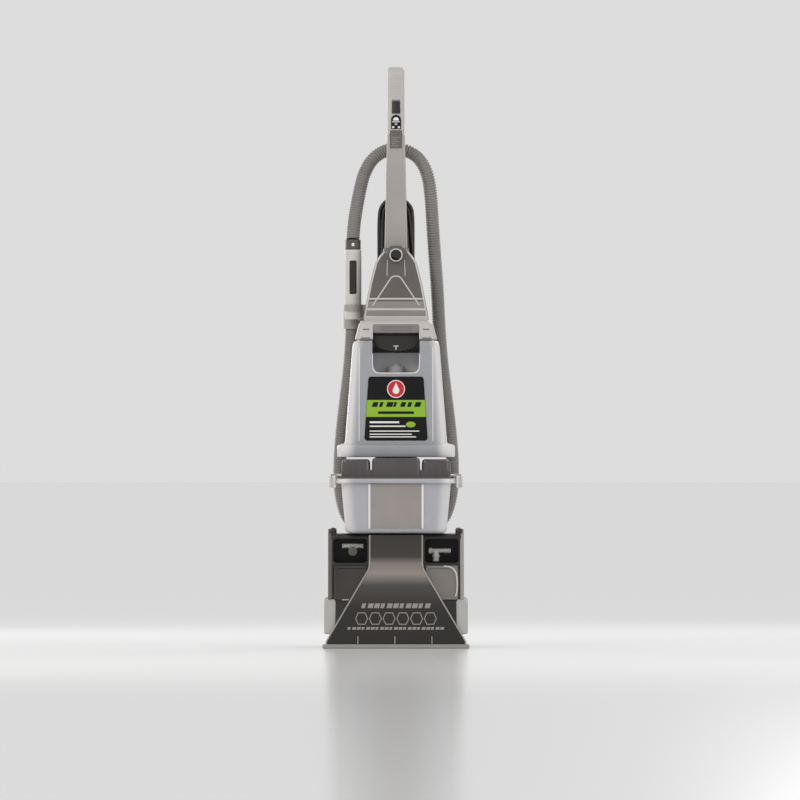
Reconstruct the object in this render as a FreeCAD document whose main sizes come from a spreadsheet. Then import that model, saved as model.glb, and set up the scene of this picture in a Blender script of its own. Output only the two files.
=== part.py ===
import FreeCAD, Part
import Sketcher
import math
import os
import types

# Upright carpet cleaner. Millimetres, +Z up, front towards -Y, +X to the
# viewer's right, origin on the floor under the middle of the object.

doc = FreeCAD.newDocument("carpet_cleaner")
sheet = doc.addObject("Spreadsheet::Sheet", "Sizes")
vector = FreeCAD.Vector
axisX, axisY, axisZ = vector(1, 0, 0), vector(0, 1, 0), vector(0, 0, 1)


class Dim(float):
    """A number that remembers the spreadsheet formula it came from."""

    def __new__(cls, value, formula=None):
        number = super().__new__(cls, value)
        number.formula = formula or repr(float(value))
        return number

    def __add__(self, other):
        other = dim(other)
        return Dim(float(self) + float(other), "(%s + %s)" % (self.formula, other.formula))

    def __sub__(self, other):
        other = dim(other)
        return Dim(float(self) - float(other), "(%s - %s)" % (self.formula, other.formula))

    def __mul__(self, other):
        other = dim(other)
        return Dim(float(self) * float(other), "(%s * %s)" % (self.formula, other.formula))

    def __truediv__(self, other):
        other = dim(other)
        return Dim(float(self) / float(other), "(%s / %s)" % (self.formula, other.formula))

    def __neg__(self):
        return Dim(-float(self), "(0 - %s)" % self.formula)

    def __radd__(self, other):
        return dim(other) + self

    def __rsub__(self, other):
        return dim(other) - self


def dim(value):
    return value if isinstance(value, Dim) else Dim(value)


drivingSizes = [
    # floor unit
    ("hood_half", 128), ("hood_top", 216), ("hood_back", 92), ("hood_wall", 3),
    ("hood_ear_top", 227), ("duct_half_top", 51), ("duct_inset", 6), ("duct_gap", 8),
    ("plate_wall", 3), ("lip_over", 3), ("lip_rise", 8), ("lip_front", -200),
    ("bumper_thick", 8), ("bumper_low", 27), ("bumper_top", 94),
    ("wheel_radius", 50), ("wheel_width", 24), ("wheel_y", 118), ("axle_radius", 4),
    ("pivot_z", 95), ("pivot_radius", 5), ("run_gap", 0.05), ("clear_gap", 0.3),
    ("brush_pitch", 44), ("brush_teeth", 22), ("brush_y", -100), ("bristle_low", 3),
    ("motor_radius", 50), ("motor_low", 64), ("motor_top", 160), ("fan_radius", 48),
    # recovery tank
    ("tank_low", 217), ("tank_rim_low", 312), ("tank_rim_top", 321), ("tank_half_low", 96),
    ("tank_half_top", 104), ("tank_wall", 2.5), ("tank_front", -116), ("tank_back", 64),
    ("rim_half", 114), ("rim_front", -130), ("rim_back", 73), ("lid_top", 358),
    # solution tank
    ("sol_low", 361), ("sol_flange_top", 385), ("sol_top", 583), ("sol_half_low", 99),
    ("sol_half_top", 82), ("sol_front_low", -76), ("sol_front_top", -62), ("sol_back", 50),
    ("sol_flange_half", 112), ("sol_flange_front", -88), ("notch_half", 45), ("notch_low", 522),
    # upright
    ("spine_half", 40), ("spine_front", 75), ("spine_back", 124), ("cap_low", 585),
    ("cap_top", 620), ("cap_half_low", 78), ("cap_half_top", 69), ("cap_front", -52),
    ("neck_top", 760), ("handle_low", 760), ("grip_length", 131), ("handle_top", 1106),
    ("handle_half_low", 22), ("handle_half_top", 16), ("handle_front", 60), ("handle_back", 90),
    ("shell_wall", 2.5),
    # hose, cord and hand tool
    ("hose_size", 26), ("cord_size", 7), ("hank_top", 860), ("hank_low", 562),
    ("hank_half", 36), ("hank_band", 21), ("hank_front", 98.5),
    ("grip_x", -82), ("grip_y", 62), ("grip_radius", 16), ("grip_low", 624), ("grip_top", 757),
    ("collar_top", 776), ("tool_low", 622), ("tool_half_low", 62), ("tool_wall", 2.5),
    ("socket_z", 746), ("socket_radius", 10), ("socket_length", 16),
]
sizes = {}
for row, (alias, number) in enumerate(drivingSizes, 1):
    sheet.set("A%d" % row, alias)
    sheet.set("B%d" % row, str(number))
    sheet.setAlias("B%d" % row, alias)
    sizes[alias] = Dim(number, "Sizes." + alias)
doc.recompute()
s = types.SimpleNamespace(**sizes)
s.bumper_half = s.hood_half + s.bumper_thick
s.lip_half = s.bumper_half + s.lip_over
s.duct_half_bottom = s.lip_half - s.duct_inset
s.handle_bend = s.handle_top - s.grip_length

nodes = {}


def keep(name, shape):
    """Name a finished sub-part."""
    shape.Label = name
    nodes[name] = shape
    return shape


def bind(thing, field, length):
    thing.setExpression(field, dim(length).formula)


def place(thing, base):
    for axis, length in zip("xyz", base):
        bind(thing, "Placement.Base." + axis, length)


def box(low, high):
    """A block between two corners."""
    block = doc.addObject("Part::Box", "Block")
    for side, a, b in zip(("Length", "Width", "Height"), low, high):
        bind(block, side, dim(b) - a)
    place(block, low)
    return block


def rod(base, axis, radius, length):
    """A round bar from its base point along an axis."""
    bar = doc.addObject("Part::Cylinder", "Bar")
    bar.Placement.Rotation = FreeCAD.Rotation(axisZ, axis)
    bind(bar, "Radius", radius)
    bind(bar, "Height", length)
    place(bar, base)
    return bar


def fuse(*shapes):
    joined = doc.addObject("Part::MultiFuse", "Joined")
    joined.Shapes = list(shapes)
    return joined


def cut(base, *tools):
    rest = doc.addObject("Part::Cut", "Rest")
    rest.Base = base
    rest.Tool = tools[0] if len(tools) == 1 else fuse(*tools)
    return rest


def common(*shapes):
    shared = doc.addObject("Part::MultiCommon", "Shared")
    shared.Shapes = list(shapes)
    return shared


def tube(base, axis, outer, inner, length):
    return cut(rod(base, axis, outer, length), rod(base, axis, inner, length))


def round_off(base, radius, pick):
    """Round the edges that pick accepts."""
    doc.recompute()
    smooth = doc.addObject("Part::Fillet", "Smooth")
    smooth.Base = base
    smooth.Edges = [(n, float(radius), float(radius)) for n, edge in enumerate(base.Shape.Edges, 1)
                    if pick(edge)]
    return smooth


def along(axis, least=0.0):
    """Accept straight edges that run along an axis."""
    def pick(edge):
        if len(edge.Vertexes) < 2:
            return False
        run = edge.Vertexes[1].Point - edge.Vertexes[0].Point
        return run.Length > least and abs(run.normalize().dot(axis)) > 0.94
    return pick


def sketch(body, plane, points, offset=0):
    """A closed outline on one of the body's own planes, every corner tied to the sheet."""
    outline = body.newObject("Sketcher::SketchObject", "Outline")
    origin = {feature.Role: feature for feature in body.Origin.OriginFeatures}
    outline.AttachmentSupport = [(origin[plane], "")]
    outline.MapMode = "FlatFace"
    bind(outline, "AttachmentOffset.Base.z", offset)
    corners = [vector(float(p[0]), float(p[1]), 0) for p in points]
    last = len(corners) - 1
    for i, corner in enumerate(corners):
        outline.addGeometry(Part.LineSegment(corner, corners[0 if i == last else i + 1]))
    for i in range(len(corners)):
        outline.addConstraint(Sketcher.Constraint("Coincident", i, 2, 0 if i == last else i + 1, 1))
    for i, point in enumerate(points):
        for kind, length in zip(("DistanceX", "DistanceY"), point):
            index = outline.addConstraint(Sketcher.Constraint(kind, -1, 1, i, 1, float(length)))
            bind(outline, "Constraints[%d]" % index, length)
    return outline


def plate(plane, points, length, offset=0, both=True):
    """An outline padded to a thickness, on both sides of its plane or along its normal."""
    body = doc.addObject("PartDesign::Body", "Body")
    pad = body.newObject("PartDesign::Pad", "Pad")
    pad.Profile = sketch(body, plane, points, offset)
    bind(pad, "Length", length)
    pad.SideType = "Symmetric" if both else "One side"
    return body


def loft(sections):
    """A tapering block through rectangles, each a height with its x and y limits:
    the front view and the side view, each padded, shared."""
    reach = 800
    front = [(limits[1], z) for z, limits in sections] + [(limits[0], z) for z, limits in sections[::-1]]
    side = [(limits[2], z) for z, limits in sections] + [(limits[3], z) for z, limits in sections[::-1]]
    return common(plate("XZ_Plane", front, reach), plate("YZ_Plane", side, reach))


def sym(half, y0, y1):
    return (-dim(half), half, y0, y1)


def sides():
    """Both hands of a mirrored pair: its name ending and its sign along X."""
    return (("left", -1), ("right", 1))


def span(sign, near, far):
    """The x limits of a piece between two distances from the middle."""
    return (near, far) if sign > 0 else (-dim(far), -dim(near))


# ---- floor unit: chassis, axle, wheels, pedal ----

chassisHalf, chassisFront, chassisBack = s.hood_half - 16, dim(-68), dim(140)
chassisLow, chassisTop, earTop = dim(24), dim(58), s.pivot_z + 20
earIn, earOut = dim(41), dim(49)
pedalLow, pedalHigh = dim(70), dim(82)


def base_chassis():
    tray = cut(box((-chassisHalf, chassisFront, chassisLow), (chassisHalf, chassisBack, chassisTop)),
               box((3 - chassisHalf, chassisFront + 3, chassisLow + 3),
                   (chassisHalf - 3, chassisBack - 3, chassisTop + 1)))
    ears = []
    for hand, sign in sides():
        x0, x1 = span(sign, earIn, earOut)
        ears.append(box((x0, s.wheel_y - 18, chassisLow + 3), (x1, chassisBack - 3, earTop)))
    wheelRoom = []
    for hand, sign in sides():
        x0, x1 = span(sign, s.hood_half - 27, s.hood_half)
        wheelRoom.append(box((x0, s.wheel_y - s.wheel_radius - 3, 0), (x1, 200, s.wheel_radius * 2 + 20)))
    for x0, x1 in ((-96, -90.5), (-59.5, -54)):
        ears.append(box((x0, chassisBack, chassisTop - 20), (x1, chassisBack + 16, pedalHigh)))
    ears.append(box((-96, chassisBack, chassisTop - 20), (-54, chassisBack + 3, chassisTop)))
    ears.append(rod((-96, chassisBack + 10, pedalLow + 6), axisX, 3, 42))
    frame = cut(fuse(tray, *ears), *wheelRoom,
                rod((-s.hood_half, s.wheel_y, s.wheel_radius), axisX, s.axle_radius, s.hood_half * 2),
                rod((-earOut - 1, s.wheel_y, s.pivot_z), axisX, s.pivot_radius, earOut * 2 + 2))
    return keep("base_chassis", frame)


def running_gear():
    keep("pivot_pin", rod((-earOut, s.wheel_y, s.pivot_z), axisX, s.pivot_radius, earOut * 2))
    axle = [rod((-s.hood_half, s.wheel_y, s.wheel_radius), axisX, s.axle_radius, s.hood_half * 2)]
    for hand, sign in sides():
        x0, x1 = span(sign, s.hood_half - 1 - s.wheel_width, s.hood_half - 1)
        drum = rod((x0, s.wheel_y, s.wheel_radius), axisX, s.wheel_radius, s.wheel_width)
        bore = rod((x0 - 1, s.wheel_y, s.wheel_radius), axisX, s.axle_radius + s.run_gap,
                   s.wheel_width + 2)
        outerFace = x1 - 8 if sign > 0 else x0 - 1
        dish = cut(rod((outerFace, s.wheel_y, s.wheel_radius), axisX, s.wheel_radius - 12, 9),
                   rod((outerFace, s.wheel_y, s.wheel_radius), axisX, 12, 9))
        keep("wheel_" + hand, cut(drum, bore, dish))
        c0, c1 = span(sign, s.hood_half, s.hood_half + 2.5)
        axle.append(rod((c0, s.wheel_y, s.wheel_radius), axisX, 8, 2.5))
    keep("wheel_axle", fuse(*axle))


def release_pedal():
    low, high = pedalLow, pedalHigh
    stalk = plate("YZ_Plane", [(chassisBack + 2, low), (chassisBack + 34, low - 6), (chassisBack + 60, low + 2),
                               (chassisBack + 60, high - 6), (chassisBack + 30, high), (chassisBack + 2, high)],
                  30, offset=-75)
    keep("release_pedal", cut(stalk, rod((-95, chassisBack + 10, low + 6), axisX, 3 + s.run_gap, 40)))


# ---- floor unit: hood, suction nozzle, bumpers ----

# front face of the duct: height and depth from the lip up to the tank
ductFace = [(8, -197), (40, -183), (80, -163), (120, -139), (150, -120), (165, -113)]
ductTop = s.tank_low - 3


def band(shift, thick):
    """Outline of a sheet that follows the duct face, set back by shift."""
    face = [(dim(y) + shift, dim(z)) for z, y in ductFace] + [(dim(-112) + shift, ductTop)]
    back = [(y + thick, z) for y, z in reversed(face)]
    return face + back


def flare(inset):
    """Front view of the duct, narrow at the top and as wide as the lip below."""
    top, low = s.duct_half_top - inset, s.duct_half_bottom - inset
    return [(-low, 8), (low, 8), (low, 12), (top, 152), (top, ductTop), (-top, ductTop),
            (-top, 152), (-low, 12)]


def nozzle():
    depth = 400
    front = common(plate("YZ_Plane", band(0, s.plate_wall), depth), plate("XZ_Plane", flare(0), depth * 2))
    gap = common(plate("YZ_Plane", band(s.plate_wall, s.duct_gap), depth),
                 cut(plate("XZ_Plane", flare(0), depth * 2), plate("XZ_Plane", flare(3), depth * 2 + 2)))
    keep("nozzle_front", fuse(front, gap))
    keep("nozzle_back", common(plate("YZ_Plane", band(s.plate_wall + s.duct_gap, s.plate_wall), depth),
                               plate("XZ_Plane", flare(0), depth * 2)))
    mouthFront = dim(-197) + s.plate_wall
    lip = cut(box((-s.lip_half, s.lip_front, 0), (s.lip_half, mouthFront + s.duct_gap + 8, s.lip_rise)),
              box((4 - s.duct_half_bottom, mouthFront, -1), (s.duct_half_bottom - 4, mouthFront + s.duct_gap, 20)))
    keep("nozzle_lip", lip)


def hood_outline(inset):
    """Side view of the hood; its front stands just behind the duct."""
    behind = s.plate_wall * 2 + s.duct_gap + s.clear_gap + inset
    low = dim(24)
    front = [(dim(y) + behind, dim(z)) for z, y in ductFace[1:]]
    front[0] = (front[0][0], low + 12)
    return ([(dim(-112) + behind, s.hood_top - inset), (s.hood_back - inset, s.hood_top - inset),
             (s.hood_back - inset, low - inset), (front[0][0], low - inset)] + front)


def hood_shell():
    outer = plate("YZ_Plane", hood_outline(dim(0)), s.hood_half * 2)
    inner = plate("YZ_Plane", hood_outline(s.hood_wall), (s.hood_half - s.hood_wall) * 2)
    windows, ears = [], []
    for hand, sign in sides():
        x0, x1 = span(sign, s.duct_half_top + 4, s.hood_half - 10)
        windows.append(box((x0, -140, 162), (x1, -70, 206)))
        windows.append(box((x0, -180, 92), (x1, -60, 156)))
        e0, e1 = span(sign, s.hood_half - 14, s.hood_half - 2)
        ears.append(box((e0, -97, s.hood_top), (e1, s.hood_back - 8, s.hood_ear_top)))
    ears = [round_off(ear, 5, along(axisY, 60)) for ear in ears]
    wheelRoom = box((-s.hood_half - 1, s.wheel_y - s.wheel_radius - 6, 0),
                    (s.hood_half + 1, 200, s.wheel_radius * 2 + 12))
    fanExit = rod((0, -4, s.hood_top - 20), axisZ, 30, 40)
    keep("hood_shell", fuse(cut(outer, inner, *windows, wheelRoom, fanExit), *ears))


def window_panel(name, sign):
    """A bent sheet that fills the lower opening of the hood, following its front."""
    behind = s.plate_wall * 2 + s.duct_gap + s.clear_gap
    x0, x1 = span(sign, s.duct_half_top + 4.3, s.hood_half - 10.3)
    low, high = (92.3, -155.62), (155.7, -117.34)
    slope = [(120, -139), (150, -120)]
    outline = [(dim(y) + behind, dim(z)) for z, y in [low] + slope + [high]]
    outline += [(y + s.hood_wall, z) for y, z in reversed(outline)]
    sheetPlate = plate("YZ_Plane", outline, (x1 - x0), offset=(x0 + x1) / 2)
    keep(name, sheetPlate)


def bumpers():
    for hand, sign in sides():
        x0, x1 = span(sign, s.hood_half, s.bumper_half)
        side = box((x0, -150, s.bumper_low), (x1, 60, s.bumper_top))
        keep("side_bumper_" + hand, round_off(side, 3.5, lambda edge, sign=sign: along(axisY)(edge)
                                              and edge.BoundBox.ZMin > 60))


# ---- floor unit: brushes and air turbine ----

gearModule = s.brush_pitch / s.brush_teeth
gearLow, gearHigh = dim(38), dim(46)
blockTop = dim(62)


def gear_face(x, phase):
    """A spur gear outline with straight flanks and running backlash."""
    pitch = float(s.brush_pitch) / 2
    module = float(gearModule)
    step = 2 * math.pi / int(s.brush_teeth)
    flank = [(pitch - 1.2 * module, 0.30), (pitch + 0.9 * module, 0.13),
             (pitch + 0.9 * module, -0.13), (pitch - 1.2 * module, -0.30)]
    points = []
    for tooth in range(int(s.brush_teeth)):
        for radius, share in flank:
            angle = (tooth + phase - share) * step
            points.append(vector(float(x) + radius * math.cos(angle),
                                 float(s.brush_y) + radius * math.sin(angle), float(gearLow)))
    return Part.Face(Part.makePolygon(points + points[:1]))


def brushes():
    positions = [s.brush_pitch * n for n in (-2, -1, 0, 1, 2)]
    for number, x in enumerate(positions, 1):
        gear = doc.addObject("Part::Feature", "Gear")
        gear.Shape = gear_face(x, 0.5 * (number % 2)).extrude(vector(0, 0, float(gearHigh - gearLow)))
        shaft = rod((x, s.brush_y, gearHigh), axisZ, 4, 14)
        bristles = rod((x, s.brush_y, s.bristle_low), axisZ, s.brush_pitch / 2 - 3, gearLow - s.bristle_low)
        keep("brush_%d" % number, fuse(bristles, gear, shaft))
    blockHalf = s.brush_pitch * 2 + 26
    block = box((-blockHalf, s.brush_y - 26, gearHigh + 1), (blockHalf, s.brush_y + 26, blockTop))
    holes = [rod((x, s.brush_y, gearHigh), axisZ, 4 + s.run_gap, 15) for x in positions]
    link = box((-60, s.brush_y + 26, gearHigh + 1), (60, chassisFront, blockTop - 4))
    keep("brush_block", fuse(cut(block, *holes), link))


turbineX, turbineY, turbineLow = dim(86), dim(-88), dim(70)


def air_turbine():
    hub = rod((turbineX, turbineY, turbineLow + 3), axisZ, 7, 46)
    spindle = rod((turbineX, turbineY, turbineLow - 4), axisZ, 3, 54)
    blades = []
    for n in range(12):
        blade = box((0, 0, 0), (16, 1.6, 30))
        turn = FreeCAD.Rotation(axisZ, n * 30)
        offset = turn.multVec(vector(5, -0.8, 0))
        blade.Placement.Rotation = turn
        place(blade, (turbineX + offset.x, turbineY + offset.y, turbineLow + 8))
        blades.append(blade)
    keep("turbine_rotor", fuse(hub, spindle, *blades))
    shell = tube((turbineX, turbineY, turbineLow), axisZ, 25, 22.5, 42)
    floor = cut(rod((turbineX, turbineY, turbineLow - 2), axisZ, 25, 2.5),
                rod((turbineX, turbineY, turbineLow - 4), axisZ, 3 + s.run_gap, 6))
    leg = box((turbineX - 12, turbineY - 6, blockTop), (turbineX + 12, turbineY + 14, turbineLow - 2))
    inside = box((turbineX - 5, turbineY - 5, blockTop - 1), (turbineX + 5, turbineY + 5, turbineLow - 1))
    keep("turbine_housing", cut(fuse(shell, floor, leg), inside))


# ---- floor unit: water fittings, motor and fan ----

def fittings():
    y, z = dim(-88), dim(184)
    tee = fuse(rod((64, y, z), axisX, 4, 40), rod((76, y, z - 20), axisZ, 6, 22),
               rod((76, y, z - 12), axisZ, 8, 4), rod((62, y, z), axisX, 6, 6))
    keep("solution_valve", tee)
    keep("solution_elbow", fuse(rod((-100, y, z + 9), axisX, 5, 36), rod((-72, y, z + 9), axisY, 4, 30),
                                rod((-82, y - 6, z - 1), axisY, 9, 14)))


def suction_motor():
    keep("suction_motor", cut(fuse(rod((0, 0, s.motor_low), axisZ, s.motor_radius, s.motor_top - s.motor_low),
                                   rod((0, 0, chassisLow + 3), axisZ, 20, s.motor_low - chassisLow - 3)),
                              rod((0, 0, s.motor_top - 30), axisZ, 4 + s.run_gap, 40)))
    fanLow = s.motor_top + 6
    wheel = [rod((0, 0, s.motor_top - 25), axisZ, 4, 46), rod((0, 0, fanLow), axisZ, s.fan_radius, 2),
             rod((0, 0, fanLow), axisZ, 10, 14)]
    for n in range(9):
        turn = FreeCAD.Rotation(axisZ, n * 40)
        offset = turn.multVec(vector(9, -0.8, 0))
        blade = box((0, 0, 0), (36, 1.6, 13))
        blade.Placement.Rotation = turn
        place(blade, (offset.x, offset.y, fanLow + 1))
        wheel.append(blade)
    keep("fan_impeller", fuse(*wheel))
    volute = tube((0, 0, s.motor_top), axisZ, s.fan_radius + 7, s.fan_radius + 4, 34)
    deck = tube((0, 0, s.motor_top), axisZ, s.fan_radius + 4.5, 6, 2)
    keep("fan_housing", fuse(volute, deck))


# ---- recovery tank ----

def recovery_tank():
    wall = s.tank_wall
    outer = round_off(loft([(s.tank_low, sym(s.tank_half_low, s.tank_front, s.tank_back)),
                            (s.tank_rim_low, sym(s.tank_half_top, s.tank_front - 6, s.tank_back + 6))]),
                      14, along(axisZ, 60))
    rim = round_off(box((-s.rim_half, s.rim_front, s.tank_rim_low), (s.rim_half, s.rim_back, s.tank_rim_top)),
                    14, along(axisZ))
    inner = round_off(loft([(s.tank_low + wall, sym(s.tank_half_low - wall, s.tank_front + wall,
                                                    s.tank_back - wall)),
                            (s.tank_rim_top + 1, sym(s.tank_half_top - wall, s.tank_front - 6 + wall,
                                                     s.tank_back + 6 - wall))]), 11.5, along(axisZ, 60))
    hole = box((-44, -108, s.tank_low - 1), (44, -102, s.tank_low + wall + 1))
    keep("recovery_tank", cut(fuse(outer, rim), inner, hole))
    low, high = s.tank_low + wall, s.tank_rim_top
    keep("riser_duct", cut(box((-48, -112, low), (48, -97, high)), box((-46, -110, low - 1), (46, -99, high + 1))))


def recovery_lid():
    base = s.tank_rim_top
    flange = round_off(box((3 - s.rim_half, s.rim_front + 3, base), (s.rim_half - 3, s.rim_back - 3, base + 5)),
                       12, along(axisZ))
    raised = [box((-46, -118, base + 4), (46, 60, s.lid_top))]
    hollow = [box((-43, -115, base - 1), (43, 57, s.lid_top - 3))]
    for hand, sign in sides():
        x0, x1 = span(sign, 50, s.tank_half_top - 2)
        raised.append(box((x0, -116, base + 4), (x1, 58, s.lid_top - 7)))
        hollow.append(box((x0 + 3, -113, base - 1), (x1 - 3, 55, s.lid_top - 10)))
    raised = [round_off(block, 5, along(axisZ)) for block in raised]
    cage = tube((72, 20, 250), axisZ, 17, 15, base + 27 - 250)
    foot = tube((72, 20, 248), axisZ, 17, 9, 2.5)
    keep("recovery_lid", fuse(cut(fuse(flange, *raised), *hollow), cage, foot))
    keep("tank_float", rod((72, 20, 252), axisZ, 14.4, 34))
    for hand, sign in sides():
        x0, x1 = span(sign, s.rim_half + s.clear_gap, s.rim_half + 12)
        bar = box((x0, -122, s.tank_rim_low - 8), (x1, -100, base + 6))
        t0, t1 = span(sign, s.rim_half - 11.5, s.rim_half + 12)
        tab = box((t0, -120, base + 5 + s.clear_gap), (t1, -102, base + 9))
        keep("lid_latch_" + hand, fuse(bar, tab))


# ---- solution tank ----

def sol_front(z):
    """Depth of the tank's leaning front face at a height."""
    share = (dim(z) - s.sol_low) / (s.sol_top - s.sol_low)
    return s.sol_front_low + (s.sol_front_top - s.sol_front_low) * share


def solution_tank():
    wall = s.tank_wall
    outer = round_off(loft([(s.sol_low, sym(s.sol_half_low, s.sol_front_low, s.sol_back)),
                            (s.sol_top, sym(s.sol_half_top, s.sol_front_top, s.sol_back))]),
                      12, along(axisZ, 100))
    flange = round_off(box((-s.sol_flange_half, s.sol_flange_front, s.sol_low),
                           (s.sol_flange_half, s.sol_back, s.sol_flange_top)), 14, along(axisZ))
    notch = box((-s.notch_half, -200, s.notch_low), (s.notch_half, 200, s.sol_top + 10))
    inner = round_off(loft([(s.sol_low + wall, sym(s.sol_half_low - wall, s.sol_front_low + wall,
                                                   s.sol_back - wall)),
                            (s.sol_top - wall, sym(s.sol_half_top - wall, s.sol_front_top + wall,
                                                   s.sol_back - wall))]), 9.5, along(axisZ, 100))
    saddle = box((-s.notch_half - wall, -200, s.notch_low - wall), (s.notch_half + wall, 200, s.sol_top + 10))
    mouth = rod((0, -8, s.notch_low - wall - 1), axisZ, 14, wall + 2)
    keep("solution_tank", cut(fuse(outer, flange), notch, cut(inner, saddle), mouth))
    low, high = dim(393), dim(514)
    card = plate("YZ_Plane", [(sol_front(low) - 1, low), (sol_front(high) - 1, high),
                              (sol_front(high), high), (sol_front(low), low)], 112)
    keep("tank_label", card)
    keep("filler_cap", fuse(rod((0, -8, s.notch_low), axisZ, 17, 12), rod((0, -8, s.notch_low + 12), axisZ, 9, 4)))


# ---- upright: spine, frame with its shoulders, neck ----

frameFront, spineTop = s.sol_back + 2, dim(550)


def spine():
    bossRadius = dim(18)
    half = s.spine_half
    low = box((-half, s.wheel_y - bossRadius, s.pivot_z), (half, s.spine_back, 232))
    high = box((-half, s.spine_front, 230), (half, s.spine_back, spineTop))
    boss = rod((-half, s.wheel_y, s.pivot_z), axisX, bossRadius, half * 2)
    hollowHigh = box((3 - half, s.spine_front + 3, 233), (half - 3, s.spine_back - 3, spineTop - 3))
    hollowLow = box((3 - half, s.wheel_y - bossRadius + 3, 120), (half - 3, s.spine_back - 3, 240))
    hole = rod((-half - 1, s.wheel_y, s.pivot_z), axisX, s.pivot_radius + s.run_gap, half * 2 + 2)
    solid = round_off(fuse(low, high), 5, lambda edge: along(axisZ)(edge) and edge.BoundBox.YMin > 110)
    keep("spine_housing", cut(fuse(solid, boss), hollowHigh, hollowLow, hole))
    heads = []
    for z in (150, 330, 510):
        for x in (-28, 28):
            heads.append(rod((x, s.spine_back, z), axisY, 4, 1.8))
    keep("housing_screws", fuse(*heads))


def upright_frame():
    back = box((-70, frameFront, 368), (70, s.spine_front, s.cap_low))
    cap = round_off(loft([(s.cap_low, sym(s.cap_half_low, s.cap_front, s.spine_front)),
                          (s.cap_top, sym(s.cap_half_top, s.cap_front + 6, s.spine_front))]),
                    10, lambda edge: along(axisZ, 20)(edge) and edge.BoundBox.YMin < 0)
    recess = box((-44, s.cap_front - 10, s.cap_low - 5), (44, -8, s.cap_top - 6))
    fences = [box((-60, y, s.cap_top - 1), (60, y + 4, s.cap_top + 10)) for y in (17, 47)]
    keep("upright_frame", fuse(cut(cap, recess), back, *fences))
    keep("tank_handle", round_off(box((-44, s.cap_front + 2, 597), (44, s.cap_front + 14, s.cap_top - 6)),
                                  3, along(axisX)))
    smile = [(-43, 594), (-43, 584), (-34, 571), (-17, 562), (17, 562), (34, 571), (43, 584), (43, 594)]
    keep("tank_latch", plate("XZ_Plane", smile, 26, offset=24))


def neck():
    top = s.handle_half_low + 2
    outer = loft([(s.cap_top, sym(47, s.handle_front, 95)), (s.neck_top, sym(top, s.handle_front, 95))])
    inner = loft([(s.cap_top + 4, sym(43, s.handle_front + 3, 92)),
                  (s.neck_top - 4, sym(top - 4, s.handle_front + 3, 92))])
    root = cut(box((-38, s.spine_front, spineTop), (38, 95, s.cap_top)),
               box((-35, s.spine_front + 3, spineTop + 3), (35, 92, s.cap_top - 3)))
    keep("neck_housing", fuse(cut(round_off(outer, 6, along(axisZ, 100)), inner), root, lower_cord_hook()))


# ---- handle, grip and controls ----

def handle_back(z):
    """Depth of the handle's rear face at a height."""
    share = (dim(z) - s.handle_low) / (s.handle_bend - s.handle_low)
    return s.handle_back + 2 - share * 2


def handle_bar(inset):
    return loft([(s.handle_low, sym(s.handle_half_low - inset, s.handle_front + inset, handle_back(760) - inset)),
                 (s.handle_bend, sym(s.handle_half_top + 1 - inset, s.handle_front + 2 + inset,
                                     s.handle_back - inset))])


def handle():
    middle = (s.handle_front + s.handle_back) / 2
    for name, low, high in (("handle_front_shell", 0, middle), ("handle_rear_shell", middle, 200)):
        hollowBar = cut(round_off(handle_bar(dim(0)), 6, along(axisZ, 100)), handle_bar(s.shell_wall))
        half = common(hollowBar, box((-50, low, s.handle_low), (50, high, s.handle_bend)))
        keep(name, half if low == 0 else fuse(half, hose_hook()))


gripSlope = 12 / 65


def grip():
    bend = s.handle_bend
    outline = [(62, bend), (s.handle_back, bend), (100, bend + 65), (114, bend + 109), (116, bend + 123),
               (108, s.handle_top), (98, s.handle_top - 1), (90, bend + 121), (74, bend + 65)]
    solid = round_off(plate("YZ_Plane", outline, s.handle_half_top * 2), 6,
                      lambda edge: abs(abs(edge.BoundBox.XMin) - float(s.handle_half_top)) < 0.1
                      and edge.BoundBox.ZMax > float(bend) + 5 and edge.BoundBox.XLength < 1)
    triggerRoom = box((-7.5, 79, bend + 9), (7.5, 130, bend + 77))
    rockerRoom = box((-8, 50, bend + 41), (8, 77, bend + 68))
    pinHeight = bend + 67
    keep("handle_grip", fuse(cut(solid, triggerRoom, rockerRoom), rod((-12, 89, pinHeight), axisX, 2, 24)))
    lever = plate("YZ_Plane", [(86, bend + 72), (93, bend + 72), (99, bend + 59), (110, bend + 27),
                               (106, bend + 17), (94, bend + 25), (87, bend + 53)], 13.4)
    keep("solution_trigger", cut(lever, rod((-20, 89, pinHeight), axisX, 2 + s.run_gap, 40)))
    keep("power_rocker", plate("YZ_Plane", [(67.6, bend + 43.4), (69.4, bend + 54.5), (71.9, bend + 65.6),
                                            (75.4, bend + 64), (75.4, bend + 45)], 14.6))
    low, high = 12, 39
    y0, y1 = 62 + low * gripSlope, 62 + high * gripSlope
    keep("control_plate", plate("YZ_Plane", [(y0 - 1.4, bend + low), (y1 - 1.4, bend + high), (y1, bend + high),
                                             (y0, bend + low)], 19))
    keep("mode_slider", plate("YZ_Plane", [(61.4, bend + 19), (62.3, bend + 24), (64.2, bend + 24),
                                           (63.4, bend + 19)], 5))


hookTop, hookLow = s.hank_top - s.hank_band - 7, s.hank_low + s.hank_band + 10
hankBack = s.hank_front + s.hank_band


def hose_hook():
    arm = box((-10, handle_back(975) - 1, 926), (10, 128, 934))
    lip = box((-10, 125.5, 926), (10, 129, 944))
    return round_off(fuse(arm, lip), 1.2, along(axisX))


def lower_cord_hook():
    return fuse(box((-8, 94, hookLow - 6), (8, hankBack + 5, hookLow + 5)),
                box((-5, hankBack + 1, s.hank_low + 4), (5, hankBack + 5, hookLow + 5)))


def upper_cord_hook():
    gap = s.clear_gap
    keep("cord_hook_upper", fuse(rod((0, handle_back(832) + gap, hookTop), axisY, 6.4,
                                     hankBack + 4 - handle_back(832)),
                                 box((-5, hankBack + 1, hookTop - 5), (5, hankBack + 5, s.hank_top - 3))))


# ---- power cord, upholstery hose, hand grip and hand tool ----

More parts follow.
